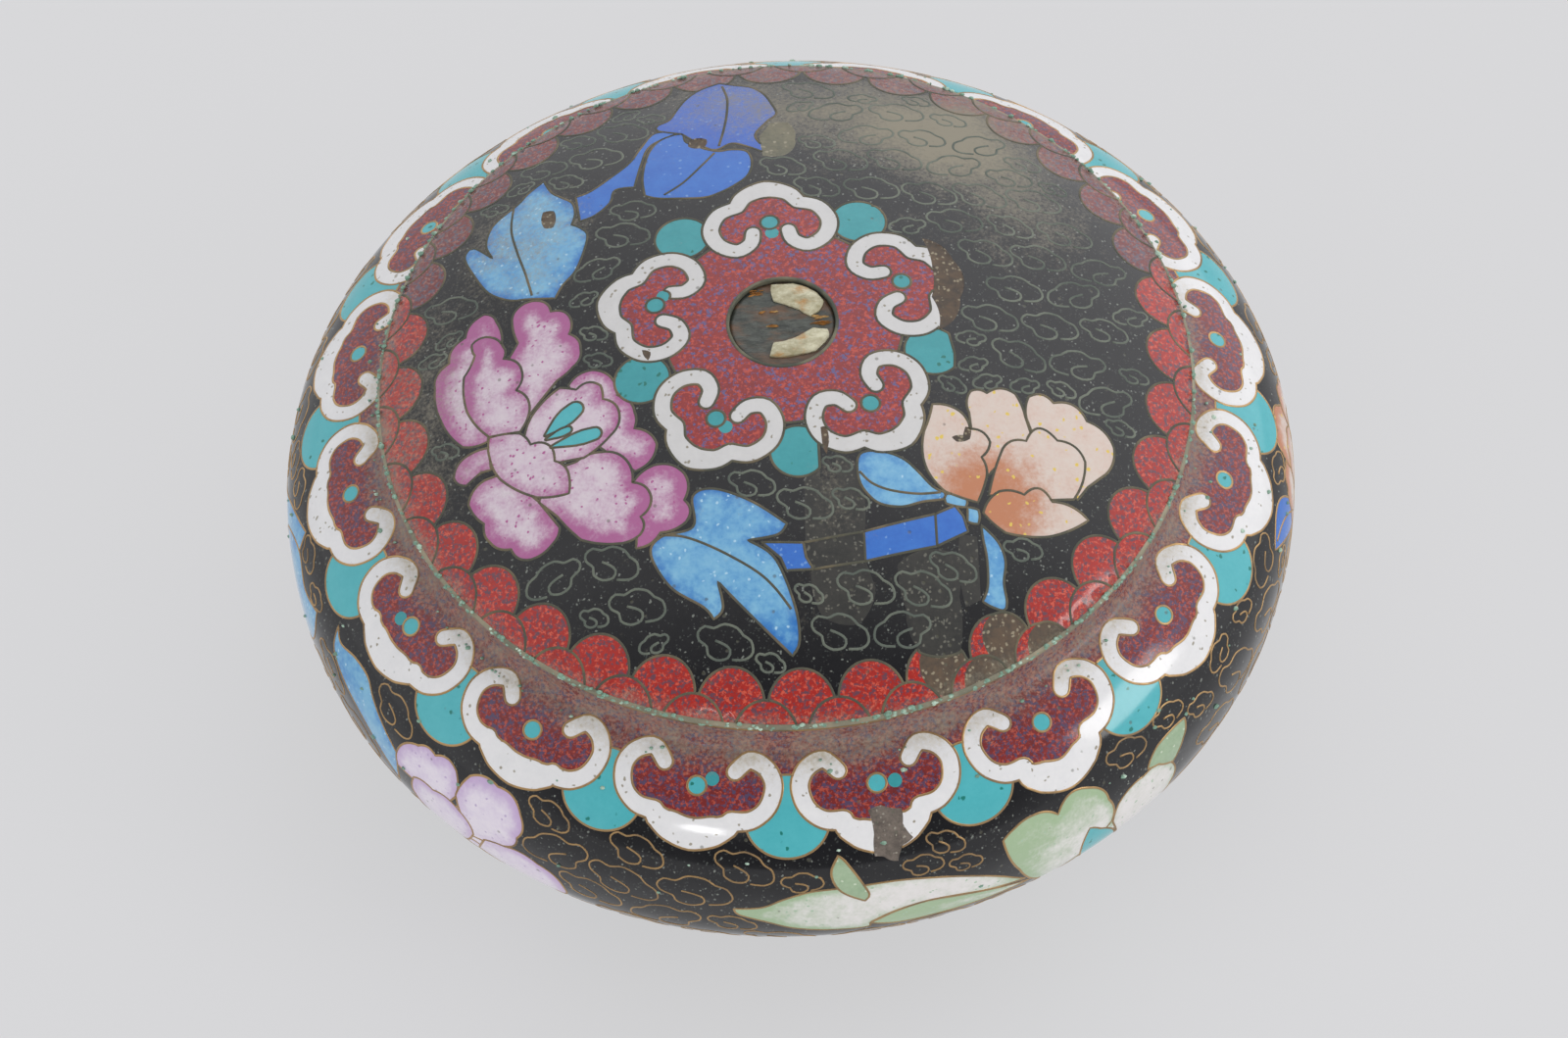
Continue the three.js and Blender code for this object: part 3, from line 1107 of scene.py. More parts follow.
    def wire_mesh(self, name: str, lines: Sequence[Points], gauge: WireGauge,
                  material: bpy.types.Material) -> bpy.types.Object:
        """Makes wires that follow flat lines over the surface.

        Args:
            name: The object's name.
            lines: Flat lines. A closed one repeats its first point at the end.
            gauge: The wires' section.
            material: Their metal.

        Returns:
            The wires as one object.
        """
        verts, faces, total = [], [], 0
        for line in lines:
            closed = len(line) > 3 and np.allclose(line[0], line[-1])
            if closed:
                line = line[:-1]
            if len(line) < 2:
                continue
            centre, up = self.skin.place(line), self.skin.normals(line)
            if closed:
                along = np.roll(centre, -1, axis=0) - np.roll(centre, 1, axis=0)
            else:
                along = np.gradient(centre, axis=0)
            along /= np.maximum(np.linalg.norm(along, axis=1), 1e-9)[:, None]
            side = np.cross(up, along) * gauge.width / 2
            top, bed = up * gauge.proud, -up * gauge.bedded
            section = np.stack([centre + side + bed, centre + side * gauge.flat_share + top,
                                centre - side * gauge.flat_share + top, centre - side + bed], axis=1)
            verts.append(section.reshape(-1, 3))
            count = len(centre)
            for step in range(count if closed else count - 1):
                here, ahead = total + 4 * step, total + 4 * ((step + 1) % count)
                for corner in range(4):
                    beside = (corner + 1) % 4
                    faces.append((here + corner, ahead + corner, ahead + beside, here + beside))
            if not closed:
                last = total + 4 * (count - 1)
                faces.append((total, total + 1, total + 2, total + 3))
                faces.append((last + 3, last + 2, last + 1, last))
            total += 4 * count
        return new_object(name, np.vstack(verts), faces, [material])


_MATERIALS: dict[str, bpy.types.Material] = {}


def glaze_material(glaze: Glaze) -> bpy.types.Material:
    """The material of an enamel, made once."""
    if glaze.name not in _MATERIALS:
        _MATERIALS[glaze.name] = glaze.value.material("enamel_" + glaze.name.lower())
    return _MATERIALS[glaze.name]


# ---------------------------------------------------------------------------------------------
# Ornament shared by the lid and the body
# ---------------------------------------------------------------------------------------------

Placer = Callable[[Points], Points]  # takes a motif's own millimetres to the flat layout


@dataclass(frozen=True)
class CloudWire:
    """A scroll of wire in the shape of a small cloud, about 6.6 by 4.2 mm."""

    line: tuple[tuple[float, float], ...] = (
        (0.9, -1.9), (2.5, -1.8), (3.4, -1.0), (3.1, 0.3), (2.1, 0.9), (1.3, 1.7), (-0.3, 2.1), (-1.6, 1.6),
        (-2.7, 1.8), (-3.5, 1.1), (-3.3, 0.2), (-2.3, -0.5), (-2.1, -1.4), (-0.9, -2.0), (0.4, -1.7),
        (0.6, -0.8), (-0.2, -0.2), (-1.3, 0.2),
    )

    def drawn(self, scale: float, turn: float, mirror: bool) -> Points:
        """The cloud's wire at a scale and an angle in radians."""
        points = curve([(x * scale * (-1 if mirror else 1), y * scale) for x, y in self.line], closed=False)
        cos, sin = math.cos(turn), math.sin(turn)
        return points @ np.array([[cos, sin], [-sin, cos]])


class CloudField:
    """Cloud wires that fill the black ground between the figures."""

    CLEAR = 0.45  # the least gap between two wires
    NEARBY = 9.0  # how far off a wire may still touch
    MARGIN = 1.13  # how much larger than the wire the free ground has to be

    def __init__(self, cloisonne: Cloisonne, seed: int) -> None:
        """Starts an empty field over a fired skin."""
        self.find = cloisonne.finder()
        self.random = np.random.default_rng(seed)
        self.lines: list[Points] = []
        self.taken = np.zeros((0, 2))
        self.cloud = CloudWire()

    def _fits(self, line: Points) -> bool:
        """Whether a line lies wholly on the ground and clear of the lines already laid."""
        middle = line.mean(axis=0)
        near = self.taken[np.abs(self.taken - middle).max(axis=1) < self.NEARBY]
        if len(near) and edge_distance(line, near).min() < self.CLEAR:
            return False
        grown = middle + (line - middle) * self.MARGIN
        return all(cell is not None and cell.cloison == GROUND for cell in self.find(grown[::2]))

    def sow(self, seats: Iterable[Placer], scales: Sequence[float], tries: int, wander: float) -> None:
        """Lays a cloud at each seat where one fits.

        Args:
            seats: Functions that place a motif's own millimetres.
            scales: Sizes to try, the largest first.
            tries: Places to try about each seat at each size.
            wander: How far from its seat a cloud may lie.
        """
        for seat in seats:
            turn, mirror = self.random.normal(0, 0.12), self.random.random() < 0.35
            for scale, attempt in product(scales, range(tries)):
                shift = self.random.uniform(-wander, wander, 2) * (0.4 if attempt == 0 else 1.0)
                line = seat(self.cloud.drawn(scale, turn, mirror) + shift)
                if self._fits(line):
                    self.lines.append(line)
                    self.taken = np.vstack([self.taken, line[::2]])
                    break


@dataclass(frozen=True)
class RuyiHead:
    """A ruyi head: a white band with curled tips round a red field, with a turquoise bead."""

    curl: tuple[tuple[float, float], ...]  # centreline of the side lobe, from its tip to the inner cusp
    crown: tuple[tuple[float, float], ...]  # the same of the end lobe, from the cusp to the middle
    curl_widths: tuple[float, ...]
    crown_widths: tuple[float, ...]
    bead: float = 1.0
    spill_size: float = 0.75
    white: Glaze = Glaze.WHITE
    bead_glaze: Glaze = Glaze.TURQUOISE

    def lay(self, work: Cloisonne, place: Placer, name: str, field_glaze: Glaze, field_cloison: str,
            stretch: float = 1.0, spill: Optional[tuple[float, float]] = None) -> None:
        """Lays the head's cells.

        Args:
            work: The enamel it goes on.
            place: Takes the head's own millimetres, across and outward from its bead, to the layout.
            name: The name of its cells.
            field_glaze: The enamel inside the band.
            field_cloison: The cloison that the inside runs together with.
            stretch: How much longer the end lobe is than drawn.
            spill: Where turquoise ran out beside the bead, if it did.
        """
        height = self.crown[-1][1]
        half = [(x, y * (1 + (stretch - 1) * y / height)) for x, y in self.crown]
        end = curve(half + [(-x, y) for x, y in half[-2::-1]], closed=False)
        side = curve(self.curl, closed=False)
        left = side * (-1, 1)
        work.lay(place(np.vstack([side, end[1:-1], left[::-1]])), field_glaze, field_cloison)
        for line, widths in ((end, self.crown_widths), (left, self.curl_widths), (side, self.curl_widths)):
            work.lay(place(band(line, widths)), self.white, name + "_band")
        if spill:
            work.lay(place(circle(spill, self.spill_size, FINE_STEP)), Glaze.TEAL, field_cloison)
        work.lay(place(circle((0, 0), self.bead, FINE_STEP)), self.bead_glaze, name + "_bead")


Petal = tuple[tuple[float, float, float], ...]


@dataclass(frozen=True)
class Leaf:
    """A pointed leaf with a central vein, drawn from its root at (0, 0) along +x."""

    length: float
    width: float
    bend: float = 0.15

    def _spine(self, share: np.ndarray) -> Points:
        """Points along the leaf's middle, which bends to one side."""
        return np.column_stack([self.length * share, self.length * self.bend * np.sin(math.pi * share)])

    def edge(self) -> Points:
        """The leaf's outline."""
        share = np.linspace(0, 1, 16)
        half = self.width / 2 * np.power(np.sin(math.pi * np.power(share, 0.75)), 0.85)
        spine = self._spine(share)
        upper, lower = spine + np.outer(half, (0, 1)), spine - np.outer(half, (0, 1))
        return np.vstack([upper, lower[-2:0:-1]])

    def vein(self) -> Points:
        """The leaf's central vein."""
        return self._spine(np.linspace(0.02, 0.88, 14))


@dataclass(frozen=True)
class Peony:
    """An open peony of scalloped petals in rings round its heart."""

    radius: float
    glaze: Glaze
    rings: tuple[tuple[float, int], ...] = ((1.0, 7), (0.7, 5), (0.42, 3))
    lobes: int = 3

    def _petal(self, reach: float, angle: float, spread: float) -> Petal:
        """One petal: its root near the heart and a scalloped outer edge."""
        def at(radius: float, turn: float) -> tuple[float, float]:
            """A point at a distance and an angle from the heart."""
            return radius * math.cos(turn), radius * math.sin(turn)

        root, flank = 0.12 * reach, 0.62 * reach
        corners = [(*at(root, angle), 0.0), (*at(flank, angle - spread), 0.35)]
        for share in np.linspace(0, 1, self.lobes + 1).tolist():
            crest = reach * (0.9 + 0.1 * math.sin(math.pi * share))
            corners.append((*at(crest, angle + spread * (1.3 * share - 0.65)), 0.4))
        corners.append((*at(flank, angle + spread), 0.0))
        return tuple(corners)

    def lay(self, work: Cloisonne, place: Placer, name: str, turn: float) -> None:
        """Lays the petals, the outer ring first, and three drops at the heart."""
        for ring, (share, count) in enumerate(self.rings):
            for index in range(count):
                angle = turn + ring * 0.5 + index * 2 * math.pi / count
                outline = place(scalloped(self._petal(self.radius * share, angle, 1.25 * math.pi / count)))
                heart = tuple(place(np.zeros((1, 2)))[0])
                work.lay(outline, self.glaze, f"{name}_{ring}_{index}", Shade(heart, self.radius), fine=0.8)
        for index in range(3):
            angle = turn + (index - 1) * 0.55
            line = np.outer(np.linspace(0.3, 3.2, 10), (math.cos(angle), math.sin(angle)))
            work.lay(place(band(line, (0.15, 0.35, 0.6, 0.7, 0.6))), Glaze.TURQUOISE, f"{name}_drop_{index}")


# ---------------------------------------------------------------------------------------------
# The lid
# ---------------------------------------------------------------------------------------------


@dataclass
class Lid:
    """The domed lid: its medallion, two peonies with leaves, and a border of scales."""

    outline: Outline
    seat_radius: float = 5.95
    seat_floor: float = 48.97
    heads: int = 5
    head_start: float = 93.4  # degrees from +X
    head_reach: float = 13.8
    disc: float = 12.7
    lappet_radius: float = 2.95
    lappet_reach: float = 16.1
    scales: int = 36
    scale_radius: float = 3.5
    scale_rows: tuple[float, float] = (42.1, 44.9)
    shaded_dull_from: float = 0.3  # share of the way to the back where the scales turn rougher and take a darker red as painted shade
    filled_scales: tuple[int, ...] = (2, 3)
    filling: tuple[float, float, float] = (0.4, 1.2, 2.52)  # its offset in a scale, and its radius
    pitch: float = 1.05
    wire: WireGauge = WireGauge(0.36)
    cloud_wire: WireGauge = WireGauge(0.36, proud=0.025)

    HEAD = RuyiHead(
        curl=((1.9, -1.3), (2.3, -2.8), (3.85, -3.65), (5.7, -2.5), (6.35, -0.3), (5.3, 1.9), (3.3, 2.7)),
        crown=((3.3, 2.7), (2.3, 4.2), (0.0, 5.05)),
        curl_widths=(0.85, 0.95, 0.95, 0.95, 0.95),
        crown_widths=(0.95, 1.1, 1.3, 1.1, 0.95),
        # The heads' white is the darker copy of the white enamel, as painted shade for the lid.
        white=Glaze.SHADED_WHITE,
        bead_glaze=Glaze.TEAL,
    )
    SPILLS = ((0.1, -1.6), (1.3, -0.6), (-1.4, 0.4), None, None)  # beside each head's bead
    # Dust in patches; the strongest, at the back right, is a painted reflection: x, y, width, depth and
    # amount.
    DUST_AND_SHEEN = ((19, 28, 8, 7, 0.8), (9, 32, 11, 8, 0.45), (26, 18, 8, 9, 0.34), (-27, 16, 7, 8, 0.38),
            (-38, -4, 6, 15, 0.32), (-5, 35, 9, 7, 0.32), (4.3, -20, 2.2, 6, 0.2))

    PINK_HEART = (-25.6, -11.2)
    PINK_PETALS: tuple[tuple[str, Petal], ...] = (
        ("far_left", ((-31.7, 6.7, .35), (-33.8, 4.2, .4), (-35.6, 1.4, .4), (-37.2, -1.4, .12),
            (-36.6, -5.6, .12), (-34.3, -9.6, .2), (-31.6, -9.8, 0), (-30.2, -4, 0), (-29.8, 2.8, .1),
            (-30.4, 5.2, .3))),
        ("top", ((-28.7, 5, .3), (-27.3, 6.8, .25), (-25.2, 6.4, .2), (-24.5, 4.9, .4), (-22.4, 3.4, .2),
            (-22.6, 1.4, .3), (-21.4, -.8, .3), (-22.3, -3, .1), (-24, -4.3, 0), (-27, -7.8, 0),
            (-29.6, -1, 0), (-28.1, 1.6, .1))),
        ("inner_left", ((-33.1, 3, .3), (-31.5, 3.5, .25), (-29.7, 1.6, .3), (-29.7, 0, .35),
            (-27.7, -2.4, .25), (-28.4, -4.4, .3), (-27, -7.2, .15), (-28.1, -9.6, 0), (-31.4, -9.3, .1),
            (-33.7, -5.6, .1), (-34, -1, -.1), (-32.8, 1.4, .15))),
        ("outer_right", ((-22.8, -5.2, .3), (-20.2, -3.8, .25), (-18, -5.6, .2), (-17.7, -7.4, .3),
            (-15.9, -9.8, .2), (-16, -11.7, .3), (-13.7, -13.9, .35), (-16.1, -16.7, 0), (-19, -14, 0),
            (-21, -12, 0))),
        ("lower_right", ((-16.4, -18, .2), (-14.1, -16.3, .3), (-11, -17.6, .3), (-11.1, -20.6, .45),
            (-11, -23, .2), (-13.7, -23.8, .3), (-16.3, -25.1, 0), (-16, -22, 0))),
        ("lower_left", ((-32, -14.2, .3), (-33.8, -16.4, .15), (-32.2, -19, .25), (-31.6, -21.2, .25),
            (-29.4, -22.5, .35), (-27.3, -24.1, .2), (-25, -23, .25), (-24.2, -21.4, 0), (-26.4, -18, 0),
            (-30, -14, 0))),
        ("small_left", ((-31.4, -10.6, .15), (-34, -10.9, .3), (-35.3, -12.9, .3), (-34, -14.2, 0),
            (-32.4, -13.2, 0), (-31.3, -13.2, 0))),
        ("big_lower", ((-22.2, -14.5, .2), (-19.5, -13.9, .25), (-17, -15.2, .2), (-16.4, -17.9, .35),
            (-14.5, -19.9, .3), (-15.7, -21.8, .4), (-15.8, -23.7, .2), (-18.2, -24.3, .1),
            (-22, -23.2, .05), (-24.4, -20.2, 0), (-26.3, -18.2, 0), (-25, -15, 0))),
        ("heart", ((-27.6, -10.2, .15), (-26.1, -7.2, .1), (-23.7, -5.3, .05), (-22, -5.9, .5),
            (-19.4, -5.9, .1), (-19.2, -7.6, .35), (-17.5, -9.9, .25), (-18.5, -12.1, .1),
            (-21.4, -14.2, 0), (-24.6, -14.2, 0), (-27.2, -11.4, .2))),
        ("front", ((-31.4, -9.4, .1), (-28.1, -9.8, .15), (-27, -11.4, .35), (-24.7, -12.4, .1),
            (-24.5, -13.9, .3), (-23, -16.2, .1), (-23.1, -17.9, .1), (-26.5, -17.6, .1),
            (-30.3, -14.6, .12), (-31.4, -11.8, .12))),
    )
    STAMENS = (((-25.4, -10.7), (-22.2, -8.3), 1.05), ((-24.8, -12.2), (-20.2, -11.6), 0.85),
               ((-25.3, -11.2), (-23.0, -10.6), 0.5))

    PEACH_HEART = (20.6, -21.4)
    PEACH_PETALS: tuple[tuple[str, Petal], ...] = (
        ("top_right", ((25, -11.6, .15), (25.4, -9, .5), (28, -9.4, .5), (31.4, -11, .3),
            (34.1, -13.6, .2), (33, -16.8, 0), (31, -18.6, 0), (29.8, -20.2, 0), (26, -15, 0))),
        ("top_centre", ((19, -11.5, .25), (19.3, -8.9, .35), (21, -9, .4), (24, -8.8, .1),
            (24.9, -11.5, 0), (25.5, -14, 0), (22, -17, 0), (20.6, -18.6, 0), (19.2, -15, 0))),
        ("left", ((15.2, -10.7, .15), (17.2, -10.9, .3), (19, -13.4, .4), (21, -14.8, .2),
            (20, -16.6, .2), (20.4, -18.8, .05), (19.3, -21.7, .05), (16, -20.7, .2), (13.9, -17, .1),
            (14.2, -13.8, -.05))),
        ("centre", ((20.5, -20.8, .05), (22.3, -15.4, .35), (24.8, -14.3, .85), (28.1, -13.8, .4),
            (30.9, -15.8, .15), (29.4, -20.2, 0), (25, -21, 0))),
        ("lower", ((19.8, -22.8, .2), (21.6, -20.3, .2), (24.2, -20.4, .75), (27.1, -20.8, .25),
            (30.8, -22.2, .1), (26.5, -24.6, .1), (22, -24.7, .1))),
    )

    # Each leaf: its enamel, its edge, the indexes of its sharp points, and its vein.
    LEAVES = (
        ("lower_leaf", Glaze.LIGHT_BLUE, ((-10.3, -23.6), (-10.2, -20.3), (-8, -19.7), (-4.2, -21.4),
            (-.6, -24.1), (-1.6, -25.2), (-4.7, -25.6), (-2, -27.7), (-.2, -32.6), (.1, -36),
            (-.7, -37.4), (-3.3, -34.8), (-6.1, -31.8), (-8, -29.6), (-7.6, -32.3), (-8.6, -33.3),
            (-9.6, -32), (-12.9, -29.6), (-14.8, -26), (-13.7, -24.3)), (4, 6, 10, 13, 15),
            ((-13.7, -24.1), (-11.5, -24.5), (-9.1, -25.6), (-6.1, -27.4), (-3.6, -29.2), (-2, -30.9),
            (-.6, -32.9))),
        ("right_leaf", Glaze.LIGHT_BLUE, ((7.1, -17.1), (8.1, -16.3), (10.3, -16.5), (12, -17.3),
            (13.3, -18.6), (14.7, -20.2), (15.9, -20.8), (15.8, -21.5), (13.6, -21.9), (11.4, -22.5),
            (9.2, -22.2), (7.9, -21.1), (7.1, -19.5)), (6,), ((7.2, -18.6), (8.4, -19.9), (10.3, -20.7),
            (13.1, -21.05), (15.5, -20.8))),
        ("hanging_leaf", Glaze.LIGHT_BLUE, ((19.5, -24.1), (20.4, -24.9), (21.3, -26), (21.8, -27.7),
            (21.5, -29.9), (21.7, -31.8), (21.3, -32.6), (19.9, -32.3), (19.2, -31.9), (19.8, -30.4),
            (19.9, -27.7), (19.6, -25.5)), (0, 8), ()),
        ("upper_leaf", Glaze.LIGHT_BLUE, ((-25.1, 25.3), (-26.9, 23.7), (-28, 22.3), (-30.7, 19.9),
            (-31.5, 17), (-30.8, 14.7), (-32.8, 17.1), (-33.7, 16.7), (-33.7, 15.1), (-32, 10.9),
            (-30.7, 9), (-28.8, 7.7), (-26.9, 7.3), (-24, 6.6), (-23.2, 8.2), (-21.6, 10.3),
            (-20.4, 14.6), (-21.1, 16.2), (-22.1, 17), (-21.7, 18.6), (-22, 20.5), (-23.2, 21.8),
            (-24.3, 23.1)), (0, 5, 13, 18), ((-28.4, 22.3), (-28.7, 18.3), (-28, 14.3), (-27.2, 11.1),
            (-26.5, 7.7))),
        ("upper_stem", Glaze.COBALT, ((-21.6, 21.3), (-20, 21.8), (-17.9, 23.4), (-15.7, 25.5),
            (-14.4, 27.9), (-12.8, 30.3), (-10, 29.8), (-12, 29), (-13.6, 27.7), (-14.4, 25),
            (-15.2, 21.3), (-17.3, 21.3), (-17.9, 19.4), (-19.5, 17.8), (-21.2, 17.3)), (0, 6, 10, 14),
            ()),
        ("far_leaf", Glaze.FAR_BLUE, ((-12.5, 31.7), (-11.2, 32.5), (-10.4, 34.3), (-9.3, 36.5),
            (-7.7, 38.3), (-5.6, 39.4), (-4, 38.6), (-2.1, 37.8), (-.8, 36.2), (.1, 33.8), (.5, 31.9),
            (-.5, 30.6), (-1.9, 28.2), (-1.3, 26.3), (-.4, 24.5), (-2.7, 26.1), (-4.5, 26.9),
            (-6.7, 26.1), (-9.9, 29.5), (-12.5, 30.7)), (5, 14, 18), ((-5.3, 38.6), (-4.8, 35.7),
            (-4.9, 32.5), (-5.3, 29.5), (-5.9, 26.6))),
        ("near_leaf", Glaze.COBALT, ((-9.9, 29.5), (-12, 29), (-13.3, 27.4), (-14, 25), (-14.3, 22.3),
            (-14.1, 19.7), (-12.8, 19), (-10.7, 18.6), (-7.7, 18.3), (-5.9, 18.9), (-4.3, 19.9),
            (-2.9, 21.3), (-2.4, 23.4), (-2.9, 25.3), (-4.5, 25.8), (-6.4, 25.8), (-9.3, 27.7)), (5,),
            ((-6.4, 25.5), (-7.7, 23.7), (-9.9, 21), (-12, 19.4))),
    )
    STEM = (
        ("stem_left", Glaze.COBALT, ((-3.3, -25.9, 0), (1, -26.2, 0), (1.2, -27.7, 0), (1.9, -29, 0),
            (-.9, -29, 0), (-1.4, -27.7, 0))),
        ("stem_gap", Glaze.FILLER, ((1, -26.2, 0), (7.3, -25.2, 0), (7.3, -28.3, 0), (1.9, -29, 0),
            (1.2, -27.7, 0))),
        ("stem_right", Glaze.COBALT, ((7.3, -25.2, 0), (14.8, -23.2, 0), (14.8, -26.6, 0),
            (7.3, -28.3, 0))),
        ("stem_end", Glaze.COBALT, ((14.8, -23.2, 0), (16.9, -22.2, 0), (17.7, -23.3, 0),
            (18.1, -24.9, 0), (14.8, -26.6, 0))),
        ("calyx_left", Glaze.LIGHT_BLUE, ((15.8, -21, .2), (18.2, -21.4, .2), (18, -22.3, .1),
            (16, -22, .1))),
        ("calyx_right", Glaze.LIGHT_BLUE, ((18.2, -22.3, .1), (19.3, -22.5, .2), (19.2, -24, .2),
            (18.1, -23.8, 0))),
    )

    def skin(self) -> Skin:
        """The dome's outer face, laid out in plan."""
        reach = self.outline.lid_radius * np.sin(np.linspace(0, math.pi / 2, 400))
        height = self.outline.dome(reach, self.outline.lid_radius, self.outline.lid_rise)
        return Skin(reach, reach, height)

    def grime_and_sheen(self, flat: Points) -> np.ndarray:
        """Dust along the edge and in patches, of which the one at the back right is a painted reflection."""
        dust_and_sheen = 0.3 * smoothstep(41.6, 43.3, np.hypot(flat[:, 0], flat[:, 1])) + 0.12
        for x, y, wide, deep, amount in self.DUST_AND_SHEEN:
            away = ((flat[:, 0] - x) / wide) ** 2 + ((flat[:, 1] - y) / deep) ** 2
            dust_and_sheen = dust_and_sheen + amount * np.exp(-away)
        return np.clip(dust_and_sheen, 0, 1)

    def _medallion(self, work: Cloisonne) -> None:
        """Five ruyi heads round the setting, over turquoise lappets."""
        for head in range(self.heads):
            angle = math.radians(self.head_start + (head + 0.5) * 360 / self.heads)
            centre = (self.lappet_reach * math.cos(angle), self.lappet_reach * math.sin(angle))
            work.lay(circle(centre, self.lappet_radius), Glaze.TEAL, f"lappet_{head}")
        for edge in self.LOSSES:
            work.lay(scalloped(edge), Glaze.BLACK, GROUND)
        work.lay(circle((0, 0), self.disc), Glaze.MEDAL_RED, "medallion")
        for head in range(self.heads):
            angle = math.radians(self.head_start + head * 360 / self.heads)
            out = np.array([math.cos(angle), math.sin(angle)])
            across = np.array([out[1], -out[0]])

            def place(points: Points, out: Points = out, across: Points = across) -> Points:
                """Turns a head to its place round the setting."""
                return points[:, :1] * across + (points[:, 1:] + self.head_reach) * out

            self.HEAD.lay(work, place, f"head_{head}", Glaze.MEDAL_RED, "medallion", spill=self.SPILLS[head])

    def _scales(self, work: Cloisonne) -> None:
        """Two rows of round-ended scales along the edge."""
        for row, reach in enumerate(self.scale_rows):
            for index in range(self.scales):
                angle = (index + 0.5 * row) * 2 * math.pi / self.scales - math.pi / 2
                x, y = reach * math.cos(angle), reach * math.sin(angle)
                # The back scales take the darker red, as painted shade.
                glaze = Glaze.SHADED_DULL_RED if math.sin(angle) > self.shaded_dull_from else Glaze.SCALE_RED
                work.lay(circle((x, y), self.scale_radius), glaze, f"scale_{row}_{index}")
                if index in self.filled_scales:
                    aside, up, radius = self.filling
                    work.lay(circle((x + aside, y + up), radius), Glaze.EARTH, f"scale_{row}_{index}")

    def _flowers(self, work: Cloisonne) -> None:
        """The two peonies, petal by petal."""
        shade = Shade(self.PINK_HEART, 13.0)
        for name, petal in self.PINK_PETALS:
            work.lay(scalloped(petal), Glaze.PINK, "pink_" + name, shade, fine=0.7)
        for index, (root, tip, half) in enumerate(self.STAMENS):
            start, end = np.array(root), np.array(tip)
            share = np.linspace(0, 1, 12)[:, None]
            work.lay(band(start + (end - start) * share, (0.12, half * 0.5, half * 0.85, half, half * 0.9)),
                     Glaze.TURQUOISE, f"stamen_{index}")
        shade = Shade(self.PEACH_HEART, 12.0, rim=0.01, base=1.0)
        for name, petal in self.PEACH_PETALS:
            work.lay(scalloped(petal), Glaze.PEACH, "peach_" + name, shade, fine=0.7)

    def _leaves(self, work: Cloisonne) -> None:
        """Stems and leaves, with their veins."""
        for name, glaze, edge in self.STEM:
            work.lay(scalloped(edge), glaze, name)
        for name, glaze, edge, corners, vein in self.LEAVES:
            outline = curve(edge, corners)
            shade = leaf_shade(outline) if glaze is Glaze.LIGHT_BLUE else None
            work.lay(outline, glaze, name, shade, fine=0.8)
            if vein:
                work.wire(curve(vein, closed=False))

    # Fillings and chips: enamel, how far it is sunk, and the edge.
    REPAIRS = (
        (Glaze.EARTH, 0.08, ((15.3, 11.2, .3), (18.4, 8.4, .3), (18.9, 3, .3), (16.4, -1.4, -.2),
            (15.9, 3, -.1), (16.2, 7, -.1))),
        (Glaze.PUTTY, 0.06, ((-1.2, 24.4, .2), (1.2, 24.3, .3), (2.4, 27, .2), (1.8, 30, .2),
            (-.2, 30.1, 0), (-1.5, 27.8, 0))),
        (Glaze.EARTH, 0.12, ((-9.2, 27.0, .3), (-7.6, 26.6, .3), (-7.2, 28, .3), (-8.8, 28.3, .3))),
        (Glaze.EARTH, 0.05, ((17.0, -14.5, .2), (18.2, -14.2, 0), (18.5, -13.2, .1), (19.1, -13.3, .1),
            (18.9, -14.6, .2), (17.5, -15.0, .1))),
        (Glaze.EARTH, 0.12, ((-25.2, 20.0, .2), (-24, 19.8, .2), (-24.1, 17.2, .3), (-25.1, 17.4, .2))),
        (Glaze.EARTH, 0.04, ((3.4, -13.4, .1), (4.0, -13.3, .1), (4.2, -15.2, 0), (3.9, -16.6, .1),
            (3.5, -15.4, 0))),
        (Glaze.EARTH, 0.05, ((-14.9, -2.2, .2), (-14.0, -2.6, .2), (-14.3, -3.6, .2))),
    )
    # Dull filling run level with the black enamel, under the cloud wires.
    FILLED_GROUND = (
        ((2.8, -15.2, 0), (7.0, -17.6, .1), (7.4, -25, 0), (1.2, -26.2, 0), (1.4, -20, .1)),
        ((1.8, -28.6, 0), (7.2, -27.9, 0), (8.2, -31, .2), (6.3, -34.6, .2), (2.6, -33.8, .2)),
        ((10.6, -28.6, .2), (14.6, -26.9, 0), (16.9, -27.2, .1), (16.8, -31.6, .1), (16.6, -36.9, .2),
            (12.4, -37.2, .2), (11.2, -33, .1)),
        ((17.2, -25.2, 0), (19.0, -25.4, 0), (19.0, -31.8, 0), (17.4, -32.6, .1)),
    )
    # Black enamel over the broken edges of the turquoise lappets.
    LOSSES = (
        ((10.4, 18.6, 0), (10.2, 15.9, -.2), (12.4, 14.3, .1), (13.9, 15.2, 0), (13.4, 18.2, 0)),
        ((17.3, -1.0, 0), (17.9, -4.2, -.05), (17.6, -7.2, 0), (19.4, -7.2, 0), (19.4, -1.0, 0)),
        ((3.1, -14.2, 0), (3.1, -19.4, 0), (4.8, -19.4, 0), (4.8, -14.2, 0)),
    )

    def cells(self, work: Cloisonne) -> None:
        """Lays every cell in paint order, the fillings and chips last."""
        self._scales(work)
        for edge in self.FILLED_GROUND:
            work.lay(scalloped(edge), Glaze.FILLER, GROUND)
        self._leaves(work)
        self._flowers(work)
        self._medallion(work)
        for glaze, depth, edge in self.REPAIRS:
            work.lay(scalloped(edge), glaze, PATCH, fine=0.45, sunk=depth)

    def _clouds(self, work: Cloisonne) -> CloudField:
        """Rows of clouds over the plan, then small ones in the gaps."""
        clouds, half = CloudField(work, RNG_SEED), 40

        def seats(wide: float, deep: float) -> Iterable[Placer]:
            """A staggered grid of seats over the lid."""
            for row, y in enumerate(np.arange(-half, half, deep)):
                for x in np.arange(-half + wide / 2 * (row % 2), half, wide):
                    yield partial(np.add, (x, y))

        clouds.sow(seats(5.9, 4.5), (0.84, 0.72), tries=3, wander=0.6)
        clouds.sow(seats(2.9, 2.3), (0.84, 0.7, 0.56), tries=2, wander=0.6)
        clouds.sow(seats(2.0, 1.7), (0.44,), tries=2, wander=0.5)
        return clouds

